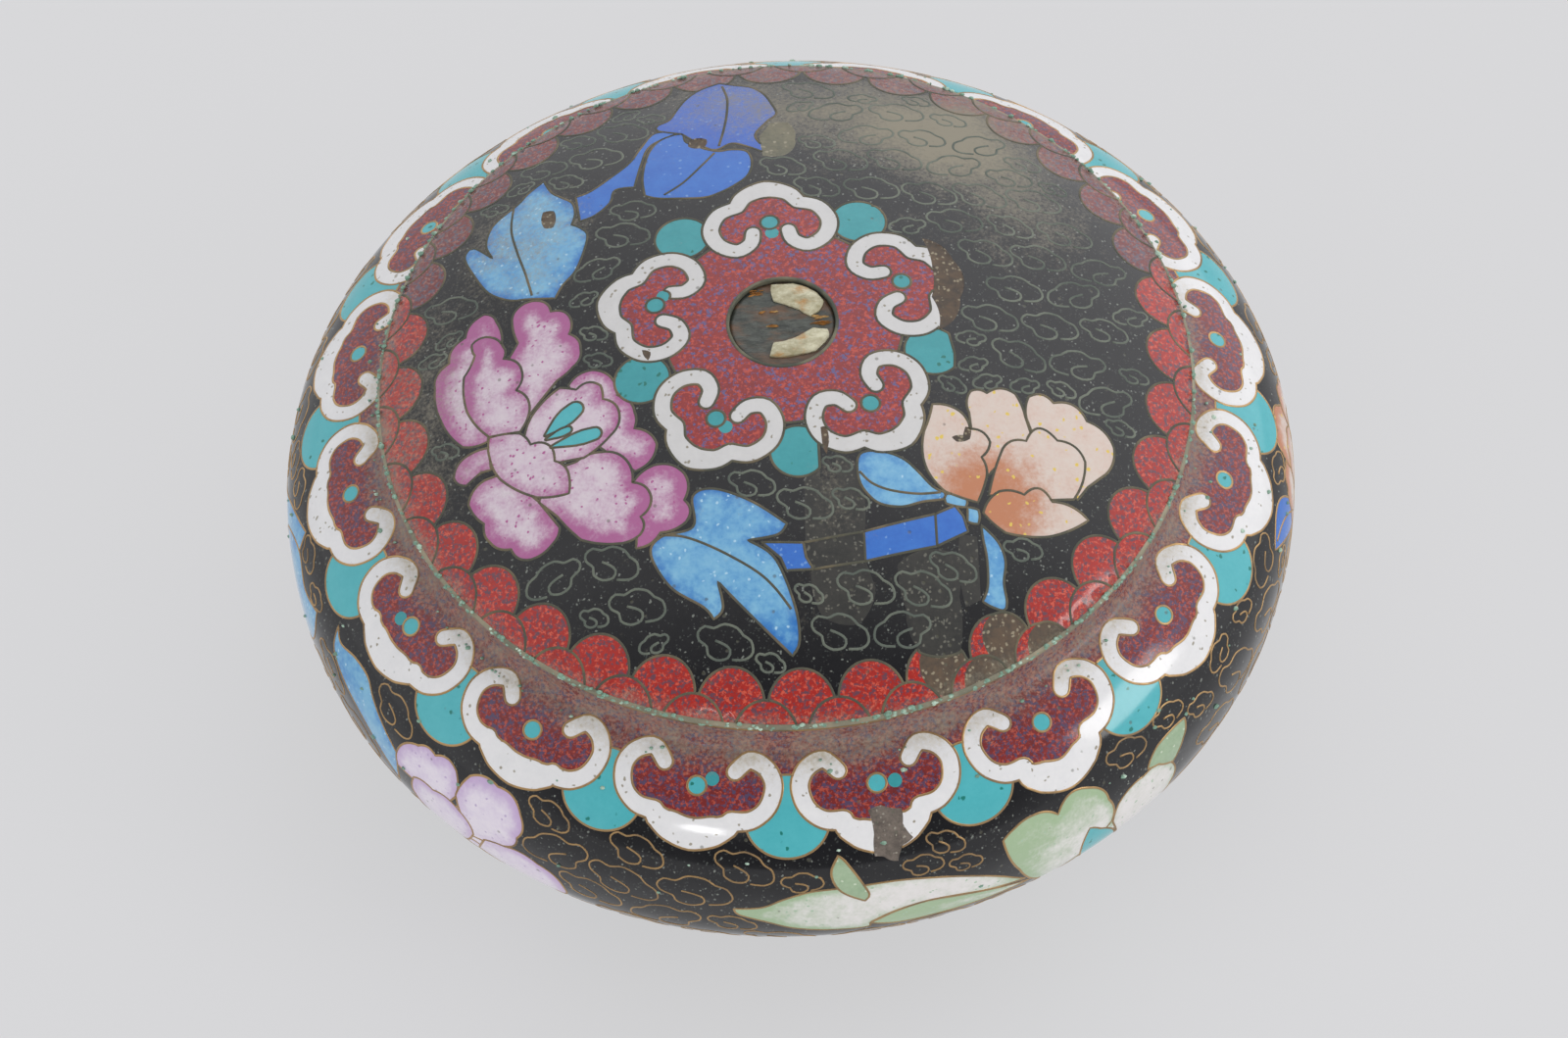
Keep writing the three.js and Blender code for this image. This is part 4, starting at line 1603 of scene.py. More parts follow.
    def build(self) -> None:
        """Makes the lid's enamel and its wires."""
        skin = self.skin()
        work = Cloisonne(skin, self.seat_radius, self.outline.lid_radius, self.pitch, self.grime_and_sheen)
        self.cells(work)
        work.fire()
        inner_edge = self.outline.lid_radius - self.outline.lid_wall
        inner = inner_edge * np.cos(np.linspace(0, math.pi / 2, 16))
        inner[-1] = 0.0
        rise = self.outline.lid_rise - self.outline.lid_wall
        under = np.column_stack([inner, self.outline.dome(inner, inner_edge, rise)])
        seat = np.array([(self.seat_radius, self.seat_floor), (0.0, self.seat_floor)])
        attach(work.skin_mesh("lid_enamel", (seat, under)), "lid_enamel", "lid")
        work.wire_pieces("lid", self._clouds(work).lines, (self.wire, self.cloud_wire),
                         (TARNISHED_WIRE, CLOUD_WIRE), "tarnished_brass")


TARNISHED_WIRE = MetalFinish(srgb(112, 100, 76), srgb(78, 78, 66), srgb(128, 144, 126), tarnished=0.55,
                             crusted=0.12, roughness=0.5, metallic=0.25)
CLOUD_WIRE = MetalFinish(srgb(104, 110, 98), srgb(84, 92, 84), srgb(142, 156, 142), tarnished=0.5,
                         crusted=0.14, roughness=0.5, metallic=0.2)
BRASS_WIRE = MetalFinish(srgb(184, 150, 104), srgb(136, 112, 82), srgb(112, 158, 136), tarnished=0.45,
                         crusted=0.06, roughness=0.34, metallic=0.85)


# ---------------------------------------------------------------------------------------------
# The body
# ---------------------------------------------------------------------------------------------


@dataclass
class Body:
    """The round body: a collar of ruyi heads on the shoulder, and flowers on black below."""

    outline: Outline
    hub: float = 45.0  # reach of the shoulder line where the neck's hollow starts
    heads: int = 16
    head_start: float = 8.85  # degrees from the front, towards the right
    bead_drop: float = 2.95
    head_radius: float = 47.7
    lappet_radius: float = 4.4
    lappet_drop: float = 5.6
    collar: float = 4.4  # drop of the maroon ground of the heads
    foot_lappets: int = 32
    foot_lappet_radius: float = 3.1
    foot_lappet_drop: float = 3.4  # above the foot
    foot_band: float = 2.2
    centre: float = 18.0  # radius of the underside's middle
    pitch: float = 1.3
    wire: WireGauge = WireGauge(0.32)
    cloud_wire: WireGauge = WireGauge(0.25)

    HEAD = RuyiHead(
        curl=((3.85, -1.85), (5.3, -3.15), (7.1, -2.45), (8.0, -.65), (7.4, 1.65), (5.8, 3.05), (3.9, 3.3)),
        crown=((3.9, 3.3), (3.0, 4.15), (0.0, 5.1)),
        curl_widths=(0.9, 1.0, 0.95, 0.9, 1.05),
        crown_widths=(1.0, 1.6, 1.75, 1.6, 1.0),
    )
    # Figures by azimuth and drop: enamel, edge, sharp points, and the heart and reach of the shade.
    SMOOTH_FIGURES = (
        ("long_leaf", Glaze.GREEN_WHITE, ((-8.5, 17.4), (-5.5, 16.9), (-3, 15.4), (0, 14.3), (4, 14.1),
            (9, 14.1), (13, 14.8), (17, 16.2), (21, 18.6), (24.3, 21.6), (20, 20.6), (16, 19.4),
            (12.5, 18.9), (9, 19.6), (6.5, 21.2), (6, 22.6), (2, 22.3), (-2, 21.3), (-5, 19.8),
            (-8, 18.5)), (0, 9), (14, 18), 24.0),
        ("long_leaf_stripe", Glaze.GREEN_WHITE, ((6.3, 21.6), (9, 19.8), (12.5, 19.0), (16, 19.6),
            (20, 20.8), (25, 22.6), (20, 23.0), (14, 22.9), (9.5, 22.8)), (0, 5), (27, 24), 15.0),
        ("small_green_leaf", Glaze.LEAF_GREEN, ((3.2, 10), (2.3, 12), (3.2, 14.5), (5.8, 16.6),
            (6.3, 15.5), (5.3, 13), (4, 10.8)), (0, 3), (4, 13), 30.0),
        ("pale_leaf", Glaze.LIGHT_BLUE, ((-66.7, 10.3), (-65, 11.3), (-62, 10.6), (-59, 10.7), (-57, 12),
            (-54, 14), (-51.5, 16), (-51.7, 18), (-52, 21.5), (-54, 19.5), (-58, 16.5), (-62, 14.8),
            (-65.5, 13)), (0, 8), (-60, 13), 30.0),
        ("far_blue_leaf", Glaze.LIGHT_BLUE, ((-80.5, 10.2), (-79.5, 13), (-81, 17), (-84, 21),
            (-91, 24.5), (-97, 22), (-98, 17), (-92, 16), (-86, 12.5)), (0, 4), (-88, 17), 30.0),
        ("near_blue_leaf", Glaze.LIGHT_BLUE, ((-71, 12.8), (-70.5, 16), (-73, 20), (-80, 25.5), (-85, 21),
            (-86, 16.5), (-83, 13.6), (-79, 12.4), (-75, 13.6)), (0, 3), (-78, 18), 30.0),
    )
    SCALLOPED_FIGURES = (
        ("white_left", Glaze.GREEN_WHITE, ((21.8, 13, .1), (23.5, 12, .15), (26, 11.5, .25),
            (28.7, 12.9, .5), (33.2, 11.9, .3), (35.2, 15, .2), (35.6, 19.5, 0), (31, 24, 0),
            (26.9, 29, .1), (26.6, 24.5, .1), (23.5, 19, .1)), (35, 24), 13.0),
        ("white_right", Glaze.GREEN_WHITE, ((35.8, 20, .1), (36.5, 17, .3), (40.3, 15.5, .4),
            (44.4, 17, .3), (45, 22, .1), (44, 27, 0), (38, 27, 0)), (37, 24), 30.0),
        ("green_tip", Glaze.LEAF_GREEN, ((41, 14.9, .2), (43, 13, .1), (47.7, 12.8, .2), (46.8, 15.2, .1),
            (45, 17.5, .1), (42.6, 15.6, .1)), (40, 20), 30.0),
        ("turquoise_drop", Glaze.TURQUOISE, ((32.5, 18, .1), (34, 19.5, .15), (36.5, 23, .1),
            (37.5, 28, 0), (33.5, 28, .1), (31.6, 22.5, .15)), (34, 22), 30.0),
        ("mauve_a", Glaze.MAUVE_WHITE, ((-51.6, 18, .15), (-51.3, 14.6, .25), (-48.6, 12, .35),
            (-46, 11.5, .4), (-42.8, 11.4, .25), (-42.2, 14.8, 0), (-44, 18, 0)), (-44, 21), 14.0),
        ("mauve_b", Glaze.MAUVE_WHITE, ((-42.2, 14.5, .1), (-40.9, 10.9, .3), (-37.2, 10.2, .4),
            (-33.6, 12, .35), (-33.7, 15.4, .3), (-35.3, 18.2, .1), (-40.5, 20.6, 0)), (-41, 20), 13.0),
        ("mauve_c", Glaze.MAUVE_WHITE, ((-49.5, 20.6, .1), (-48.8, 17.4, .3), (-45.6, 16.6, .35),
            (-41.6, 16.9, .3), (-40, 20, .1), (-43, 25, 0), (-48, 25, 0)), (-45, 27), 14.0),
        ("mauve_d", Glaze.MAUVE_WHITE, ((-38.4, 19.6, .1), (-35.4, 18.4, .3), (-31.2, 18.6, .35),
            (-28.3, 21.6, .3), (-29.4, 25.2, .1), (-35, 27, 0), (-40, 23.5, 0)), (-41, 24), 14.0),
    )
    # Whole peonies: azimuth, drop, radius, enamel and turn. The first three lie under the figures above.
    PEONIES = (
        (-41, 25.5, 9.5, Glaze.MAUVE_WHITE, 0.4), (35.5, 28, 9.0, Glaze.GREEN_WHITE, 0.9),
        (89, 19.5, 10.0, Glaze.PEACH, 0.2), (147, 22, 10.5, Glaze.PINK, 0.5),
        (207, 21, 10.0, Glaze.MAUVE_WHITE, 1.1), (256, 24, 9.5, Glaze.PEACH, 0.8),
    )
    # Leaves: the peony they grow from, their turn in degrees, length, width and enamel.
    LEAVES = (
        (2, -20, 10, 4.8, Glaze.LIGHT_BLUE), (2, 35, 11, 5.2, Glaze.COBALT),
        (2, 150, 11, 5.0, Glaze.LIGHT_BLUE), (2, 205, 9, 4.4, Glaze.COBALT),
        (3, -25, 10, 4.6, Glaze.COBALT), (3, 30, 12, 5.4, Glaze.LIGHT_BLUE),
        (3, 155, 11, 5.2, Glaze.COBALT), (3, 210, 10, 4.8, Glaze.LIGHT_BLUE),
        (4, -25, 11, 5.0, Glaze.LIGHT_BLUE), (4, 40, 11, 5.0, Glaze.LEAF_GREEN),
        (4, 150, 11, 5.4, Glaze.LIGHT_BLUE), (4, 200, 10, 4.8, Glaze.COBALT),
        (5, -15, 9, 4.6, Glaze.LIGHT_BLUE), (5, 45, 10, 4.8, Glaze.COBALT),
        (5, 140, 10, 4.8, Glaze.LIGHT_BLUE), (5, 205, 10, 4.6, Glaze.LEAF_GREEN),
        (0, 40, 10, 4.8, Glaze.LIGHT_BLUE), (0, 150, 11, 5.2, Glaze.COBALT),
        (1, 35, 10, 4.8, Glaze.LIGHT_BLUE), (1, 150, 11, 5.2, Glaze.LEAF_GREEN),
    )
    STEMS = ((2, 3), (3, 4), (4, 5))  # the peonies that a stem joins
    # Fillings by azimuth and drop: enamel and edge.
    REPAIRS = (
        (Glaze.ASH, ((7.2, 5.6, .1), (8.9, 5.3, -.1), (11.2, 6.0, .1), (11.0, 7.6, -.1), (11.9, 9.3, .1),
            (10.6, 9.9, -.1), (9.8, 11.6, .2), (8.3, 10.8, -.1), (7.3, 10.6, .1), (7.5, 8.2, -.1))),
    )
    STRETCHES = {0: 1.12, 1: 1.18, 3: 1.04, 14: 0.9, 13: 0.86, 12: 0.96}  # of heads drawn longer or shorter
    SPILLS = {0: (1.9, 0.1), 13: (-1.6, 0.4), 15: (1.5, -0.9)}  # of turquoise beside a head's bead

    def side_line(self) -> tuple[Skin, float, float]:
        """The body's skin and the reaches of its upper and lower edges."""
        line = self.outline.side()
        steps = np.hypot(*np.diff(line, axis=0).T)
        along = np.concatenate([[0], np.cumsum(steps)])
        neck = along[9]
        reach = along - neck + self.hub
        return Skin(reach, line[:, 0], line[:, 1]), float(reach[0]), float(reach[-1])

    def at(self, azimuth: np.ndarray, drop: np.ndarray) -> Points:
        """Flat points at degrees from the front and millimetres down the side."""
        turn, reach = np.radians(azimuth), self.hub + drop
        return np.column_stack([reach * np.sin(turn), -reach * np.cos(turn)])

    def wrapped(self, radius: float, azimuth: float, drop: float, points: Points) -> Points:
        """A motif's millimetres, across and down, wrapped round the body at a point of its side."""
        return self.at(azimuth + np.degrees(points[:, 0] / radius), drop + points[:, 1])

    def seat(self, skin: Skin, azimuth: float, drop: float) -> Placer:
        """A function that places a motif at a point of the side, where the body has its own radius."""
        return partial(self.wrapped, skin.real_radius(self.hub + drop), azimuth, drop)

    def grime_and_sheen(self, flat: Points) -> np.ndarray:
        """Dirt in the corner under the lid, thinning over the ruyi heads."""
        drop = np.hypot(flat[:, 0], flat[:, 1]) - self.hub
        return np.clip(0.58 - 0.11 * np.clip(drop + 1, 0, None), 0.06, 0.55)

    def _garden(self, work: Cloisonne, skin: Skin) -> None:
        """Stems, leaves and flowers on the black ground."""
        for index, (first, second) in enumerate(self.STEMS):
            (azimuth, drop, *_), (last, end, *_) = self.PEONIES[first], self.PEONIES[second]
            share = np.linspace(0, 1, 60)
            sag = drop + (end - drop) * share + 4.5 * np.sin(2 * math.pi * share)
            line = self.at(azimuth + (last - azimuth) * share, sag)
            work.lay(band(line, (0.55, 0.45, 0.55)), Glaze.LEAF_GREEN, f"stem_{index}")
        for index, (peony, turn, length, width, glaze) in enumerate(self.LEAVES):
            azimuth, drop, radius, *_ = self.PEONIES[peony]
            leaf, angle = Leaf(length, width), math.radians(turn)
            spin = np.array([[math.cos(angle), math.sin(angle)], [-math.sin(angle), math.cos(angle)]])
            place = self.seat(skin, azimuth, drop)
            root = np.array((math.cos(angle), math.sin(angle))) * radius * 0.85
            outline = place(leaf.edge() @ spin + root)
            work.lay(outline, glaze, f"leaf_{index}", leaf_shade(outline), fine=0.9)
            work.wire(place(leaf.vein() @ spin + root))
        for index, (azimuth, drop, radius, glaze, turn) in enumerate(self.PEONIES):
            Peony(radius, glaze).lay(work, self.seat(skin, azimuth, drop), f"peony_{index}", turn)
        for name, glaze, edge, corners, heart, reach in self.SMOOTH_FIGURES:
            self._figure(work, name, glaze, curve(edge, corners), heart, reach)
        for name, glaze, edge, heart, reach in self.SCALLOPED_FIGURES:
            self._figure(work, name, glaze, scalloped(edge), heart, reach)

    def _figure(self, work: Cloisonne, name: str, glaze: Glaze, edge: Points, heart: tuple[float, float],
                reach: float) -> None:
        """Lays a figure whose edge is given by azimuth and drop."""
        middle = tuple(self.at(np.array([heart[0]]), np.array([heart[1]]))[0])
        green = glaze is Glaze.GREEN_WHITE
        shade = Shade(middle, reach, rim=1.3 if green else 2.2, far=0.75 if green else 0.25)
        work.lay(self.at(edge[:, 0], edge[:, 1]), glaze, name, shade, fine=0.8)

    def _foot_border(self, work: Cloisonne, skin: Skin, foot: float) -> None:
        """A row of lappets over a turquoise band at the foot."""
        drop = foot - self.hub - self.foot_lappet_drop
        for index in range(self.foot_lappets):
            place = self.seat(skin, index * 360 / self.foot_lappets, drop)
            glaze = Glaze.MAROON if index % 2 else Glaze.SCALE_RED
            work.lay(place(circle((0, 0), self.foot_lappet_radius)), glaze, f"foot_lappet_{index}")
        rim, edge = (circle((0, 0), reach, COARSE_STEP) for reach in (foot - self.foot_band, foot + 1))
        work.lay(np.vstack([edge, edge[:1], rim[:1], rim[::-1]]), Glaze.TURQUOISE, "foot_band")

    def _collar(self, work: Cloisonne, skin: Skin) -> None:
        """Ruyi heads round the shoulder, over turquoise lappets."""
        work.lay(circle((0, 0), self.hub + self.collar), Glaze.MAROON, "collar")
        step = 360 / self.heads
        for index in range(self.heads):
            place = self.seat(skin, self.head_start + index * step + step / 2, self.lappet_drop)
            work.lay(place(circle((0, 0), self.lappet_radius)), Glaze.TURQUOISE, f"lappet_{index}")
        for index in range(self.heads):
            place = partial(self.wrapped, self.head_radius, self.head_start + index * step, self.bead_drop)
            stretch, spill = self.STRETCHES.get(index, 1.0), self.SPILLS.get(index)
            self.HEAD.lay(work, place, f"head_{index}", Glaze.MAROON, "collar", stretch, spill)

    def _inside(self) -> Points:
        """The line (radius, height) of the inner face, from the mouth down to the middle of the floor."""
        line = self.outline
        radius, mouth = line.body_radius - line.wall, line.neck_radius - line.wall
        floor, drop = line.foot_top + line.wall, line.belly_drop - line.wall
        flat = radius * float(superellipse((line.equator - floor) / drop, line.belly_power))
        widest = radius - 1e-6
        upper = line.arc(radius, line.shoulder_rise - line.wall, line.shoulder_power, (mouth, widest), 14)
        lower = line.arc(radius, -drop, line.belly_power, (widest, flat), 16)
        return np.vstack([[(mouth, line.mouth)], upper, lower[1:], [(flat / 2, floor), (0.0, floor)]])

    def _clouds(self, work: Cloisonne, skin: Skin, foot: float) -> CloudField:
        """Rings of clouds round the body, then small ones in the gaps."""
        clouds = CloudField(work, RNG_SEED + 1)

        def seats(wide: float, deep: float) -> Iterable[Placer]:
            """Staggered seats round the body, with the clouds' lobes upward."""
            for row, drop in enumerate(np.arange(10.6, foot - self.hub - 6, deep)):
                count = round(2 * math.pi * skin.real_radius(self.hub + drop) / wide)
                for index in range(count):
                    azimuth = (index + 0.5 * (row % 2)) * 360 / count + 0.9
                    seat = self.seat(skin, azimuth, drop)
                    yield lambda points, seat=seat: seat(points * (1, -1))

        clouds.sow(seats(8.4, 4.8), (1.12, 1.02, 0.92), tries=5, wander=1.0)
        clouds.sow(seats(3.2, 2.4), (0.98, 0.86, 0.74, 0.62), tries=3, wander=0.9)
        clouds.sow(seats(2.2, 1.8), (0.66, 0.52), tries=2, wander=0.6)
        return clouds

    def build(self) -> None:
        """Makes the body's enamel and its wires."""
        skin, top, foot = self.side_line()
        work = Cloisonne(skin, top, foot, self.pitch, self.grime_and_sheen)
        self._garden(work, skin)
        self._foot_border(work, skin, foot)
        self._collar(work, skin)
        for glaze, edge in self.REPAIRS:
            shape = scalloped(edge)
            work.lay(self.at(shape[:, 0], shape[:, 1]), glaze, PATCH, fine=0.5, sunk=0.06)
        work.fire()
        under = np.array([(self.centre, self.outline.foot_top), (0.0, self.outline.foot_top)])
        attach(work.skin_mesh("body_enamel", (self._inside(), under)), "body_enamel", "body")
        work.wire_pieces("body", self._clouds(work, skin, foot).lines, (self.wire, self.cloud_wire),
                         (BRASS_WIRE, BRASS_WIRE), "brass")


# ---------------------------------------------------------------------------------------------
# Rings, and the broken setting on top
# ---------------------------------------------------------------------------------------------


def bead_arc(centre: tuple[float, float], radius: float, start: float, end: float, steps: int) -> list:
    """Points of a round arc in a section, between two angles in degrees."""
    turns = np.radians(np.linspace(start, end, steps + 1))
    return [(centre[0] + radius * math.cos(t), centre[1] + radius * math.sin(t)) for t in turns]


@dataclass
class Rings:
    """The bare metal: the foot, the mouth's edge and the lid's edge with its flange."""

    outline: Outline
    foot_inner: float = 28.4
    foot_flare: float = 0.6
    ring_radius: float = 43.75
    flange_wall: float = 0.8
    flange_depth: float = 3.6
    flange_play: float = 0.35
    edge_round: float = 0.25
    foot_edge: float = 0.5

    def build(self) -> None:
        """Makes the three rings."""
        brass = BRASS_RING.material("ring_brass")
        tarnished = TARNISHED_RING.material("ring_tarnished")
        line, soft, edge = self.outline, self.edge_round, self.foot_edge
        outer = line.foot_radius + self.foot_flare - edge
        foot = ([(self.foot_inner + soft, 0), (outer, 0)]
                + bead_arc((outer, edge), edge, -70, 0, 3)
                + [(line.foot_radius + 0.1, line.foot_top * 0.6), (line.foot_radius, line.foot_top),
                   (self.foot_inner, line.foot_top), (self.foot_inner, soft)])
        attach(turned("foot_rim", np.array(foot), brass), "brass", "foot_ring")

        inner, seam = line.neck_radius - line.wall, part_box("mouth_ring")[1].z / MM
        mouth = ([(inner, line.mouth), (line.neck_radius, line.mouth)]
                 + bead_arc((line.neck_radius - soft, seam - soft), soft, 0, 90, 3)
                 + bead_arc((inner + soft, seam - soft), soft, 90, 180, 3))
        attach(turned("mouth_rim", np.array(mouth), brass), "brass", "mouth_ring")

        flange = inner - self.flange_play
        bead = (line.lid_edge - seam) / 2
        back, low = flange - self.flange_wall, seam - self.flange_depth
        lid = ([(back, low), (flange, low), (flange, seam)]
               + bead_arc((self.ring_radius - bead, seam + bead), bead, -90, 90, 8)
               + [(back, line.lid_edge)])
        attach(turned("lid_rim", np.array(lid), tarnished, 256, self._dents), "tarnished_brass", "lid_ring")

    def _dents(self, angle: float, row: int) -> float:
        """The small dents of the corroded bead on the lid's edge, inward only."""
        if row < 4:
            return 0.0
        return -0.06 * abs(noise.noise(Vector((math.cos(angle) * 40, math.sin(angle) * 40, row * 0.7))))


@dataclass
class Setting:
    """The seat on top, its stone lost: a collet, old cement and two flakes of the stone."""

    seat_radius: float = 5.6
    collet_edge: float = 0.12
    flake_thickness: float = 0.5
    flake_bedded: float = 0.1
    sliver_bedded: float = 0.08
    cement_rings: int = 14
    cement_sides: int = 56
    cement_lumps: float = 0.16

    # Each flake: its name, the solid that it stands for, a point that sees all of it, and its edge.
    FLAKES = (
        ("stone_flake_back", "knob_flake_back", (2.2, 3.5), ((-1.0, 5.2, 0), (1.3, 5.2, .1),
            (3.6, 4.0, .1), (4.5, 2.6, .1), (3.9, 1.4, 0), (3.0, 0.8, .1), (2.1, 1.5, -.1), (0.8, 2.3, 0),
            (-0.9, 3.1, .1))),
        ("stone_flake_front", "knob_flake_front", (1.9, -2.7), ((-1.5, -4.2, .1), (0.9, -4.3, 0),
            (3.3, -3.8, .1), (4.9, -2.0, .1), (4.7, -1.0, 0), (3.3, -0.7, 0), (1.5, -1.8, -.1),
            (-1.1, -2.5, 0))),
    )

    # How wide a flake is at each share of its thickness.
    FLAKE_LEVELS = ((1.0, 0.0), (1.0, 0.62), (0.93, 0.86), (0.8, 1.0), (0.5, 1.08), (0.2, 1.1))

    SLIVER_FACES = ((0, 1, 4), (1, 5, 4), (1, 2, 5), (2, 3, 5), (3, 4, 5), (3, 0, 4), (3, 2, 1, 0))
    # Each bed of slivers: its middle, its half width and depth, and how many.
    SLIVER_BEDS = (((4.0, 0.3), (0.7, 0.7), 12), ((-2.4, 4.3), (0.7, 0.35), 7), ((-2.2, 0.2), (1.4, 1.6), 4))

    def _ragged(self, angle: float, row: int) -> float:
        """The collet's bent and nicked upper edge, inward only."""
        return 0.0 if row < 2 else -0.05 * abs(noise.noise(Vector((angle * 22, row, 1))))

    def _bed(self) -> None:
        """The uneven cement."""
        low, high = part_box("knob_cement")
        base, top, radius = low.z / MM, high.z / MM, high.x / MM
        verts = [(0, 0, base)]
        shares = [ring / self.cement_rings for ring in range(self.cement_rings, 0, -1)]
        for reach, height in [(radius, base)] + [(radius * share, top) for share in shares]:
            for turn in np.arange(self.cement_sides) * 2 * math.pi / self.cement_sides:
                x, y = reach * math.cos(turn), reach * math.sin(turn)
                lump = noise.fractal(Vector((x, y * 1.8, 3)), 1.0, 2.0, 4) if height > base else 0.0
                verts.append((x, y, height + self.cement_lumps * lump))
        verts.append((0, 0, top))
        faces = stacked(self.cement_sides, self.cement_rings + 1)
        bed = new_object("cement_bed", np.array(verts), faces, [CEMENT.material("old_cement")])
        attach(bed, "cement", "knob_cement")

    def _flake(self, name: str, node: str, middle: tuple[float, float], edge: Petal) -> None:
        """One broken flake, with a chipped upper edge."""
        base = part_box("knob_cement")[1].z / MM - self.flake_bedded
        outline, centre = ccw(scalloped(edge)), np.array(middle)
        count, levels = len(outline), self.FLAKE_LEVELS
        verts = [(*centre, base)]
        for share, height in levels:
            for index, spot in enumerate(outline):
                chip = 1 - 0.06 * abs(noise.noise(Vector((index * 0.9, share * 9, count))))
                x, y = centre + (spot - centre) * share * chip
                lump = 0.08 * noise.noise(Vector((x * 1.4, y * 1.4, 7))) if height else 0.0
                verts.append((x, y, base + self.flake_thickness * height + lump))
        verts.append((*centre, base + self.flake_thickness * levels[-1][1]))
        faces = stacked(count, len(levels))
        flake = new_object(name, np.array(verts), faces, [STONE.material(name)])
        flake.data.set_sharp_from_angle(angle=math.radians(35))
        attach(flake, "stone", node)

    def _slivers(self) -> None:
        """Thin amber splinters of the stone, left in the cement beside the flakes."""
        random = np.random.default_rng(RNG_SEED + 3)
        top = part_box("knob_cement")[1].z / MM
        verts, faces = [], []
        for (x, y), (wide, deep), count in self.SLIVER_BEDS:
            for _ in range(count):
                middle = np.array((x + random.uniform(-wide, wide), y + random.uniform(-deep, deep), top))
                long, thin = random.uniform(0.35, 0.9), random.uniform(0.07, 0.15)
                tilt = random.normal(0.12, 0.12)
                along = np.array((math.cos(tilt), math.sin(tilt), 0)) * long
                aside = np.array((-math.sin(tilt), math.cos(tilt), 0)) * thin
                rise = np.array((0, 0, random.uniform(0.14, 0.26)))
                base, total = np.array((0, 0, self.sliver_bedded)), len(verts)
                verts += [middle + side - base for side in (-along, -aside, along, aside)]
                verts += [middle - along * 0.5 + rise, middle + along * 0.6 + rise * 0.8]
                faces += [[total + corner for corner in face] for face in self.SLIVER_FACES]
        slivers = new_object("amber_slivers", np.array(verts), faces, [AMBER.material("amber_stone")])
        slivers.data.set_sharp_from_angle(angle=math.radians(30))
        attach(slivers, "stone")

    def build(self) -> None:
        """Makes the collet, the cement, the flakes and the slivers."""
        low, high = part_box("knob_collet")
        inner, outer = self.seat_radius, high.x / MM
        bottom, top, edge = low.z / MM, high.z / MM, self.collet_edge
        section = ([(inner, bottom), (outer, bottom)] + bead_arc((outer - edge, top - edge), edge, 0, 90, 3)
                   + bead_arc((inner + edge, top - edge), edge, 90, 180, 3))
        metal = COLLET.material("collet_metal")
        attach(turned("setting_collet", np.array(section), metal, 128, self._ragged),
               "tarnished_brass", "knob_collet")
        self._bed()
        for name, node, middle, edge in self.FLAKES:
            self._flake(name, node, middle, edge)
        self._slivers()


@dataclass
class Crust:
    """Green corrosion in lumps along the lid's edge, in the corner below it and by the body's wires."""

    outline: Outline
    body: Body
    along_ring: int = 620
    in_corner: int = 70
    on_body: int = 120
    ring_radius: float = 43.6
    ring_drop: float = 0.35  # of the middle of the ring's lumps, below the lid's edge
    corner_drop: float = 3.1  # of the corner's lumps, below the mouth
    body_drops: tuple[float, ...] = (0.6, 6.0, 9.6, 12.5, 17.0)
    bedded: float = 0.03
    sides: int = 7

    # The rings of a lump from below: height and width as shares of its size.
    LEVELS = ((-1, 0.0), (-0.55, 0.8), (0.2, 1.0), (0.8, 0.6), (1, 0.0))

    def _spots(self, random: np.random.Generator) -> list[tuple[float, float, float, float]]:
        """Each lump's distance from the axis, angle, height and size."""
        spots = []
        seam = self.outline.lid_edge - self.ring_drop
        for _ in range(self.along_ring):
            angle = random.uniform(0, 2 * math.pi)
            off = random.uniform(-0.25, 0.42)
            spots.append((self.ring_radius - 0.1 * abs(off), angle, seam + off, random.uniform(0.12, 0.34)))
        corner = self.outline.mouth - self.corner_drop
        for _ in range(self.in_corner):
            angle = random.uniform(0, 2 * math.pi)
            spots.append((random.uniform(44.2, 45.6), angle, corner, random.uniform(0.1, 0.22)))
        skin = self.body.side_line()[0]
        for _ in range(self.on_body):
            drop = random.choice(self.body_drops) + random.normal(0, 0.7)
            angle, reach = random.uniform(0, 2 * math.pi), self.body.hub + max(0.0, drop)
            flat = np.array([(reach * math.cos(angle), reach * math.sin(angle))])
            x, y, z = skin.place(flat, -self.bedded)[0]
            spots.append((math.hypot(x, y), angle, z, random.uniform(0.12, 0.36)))
        return spots

    def build(self) -> None:
        """Makes the lumps as one piece."""
        random = np.random.default_rng(RNG_SEED + 2)
        verts, faces = [], []
        for radius, angle, height, size in self._spots(random):
            centre = np.array((radius * math.cos(angle), radius * math.sin(angle), height))
            turn = random.uniform(0, math.pi)
            faces += stacked(self.sides, len(self.LEVELS) - 2, len(verts))
            for level, share in self.LEVELS:
                for side in range(self.sides if share else 1):
                    theta = turn + side * 2 * math.pi / self.sides
                    reach = size * share * random.uniform(0.75, 1.15)
                    across, along = reach * math.cos(theta) * 1.2, reach * math.sin(theta)
                    verts.append(centre + (across, along, level * size * 0.6))
        lumps = new_object("verdigris_lumps", np.array(verts), faces, [VERDIGRIS.material("verdigris")])
        attach(lumps, "tarnished_brass")


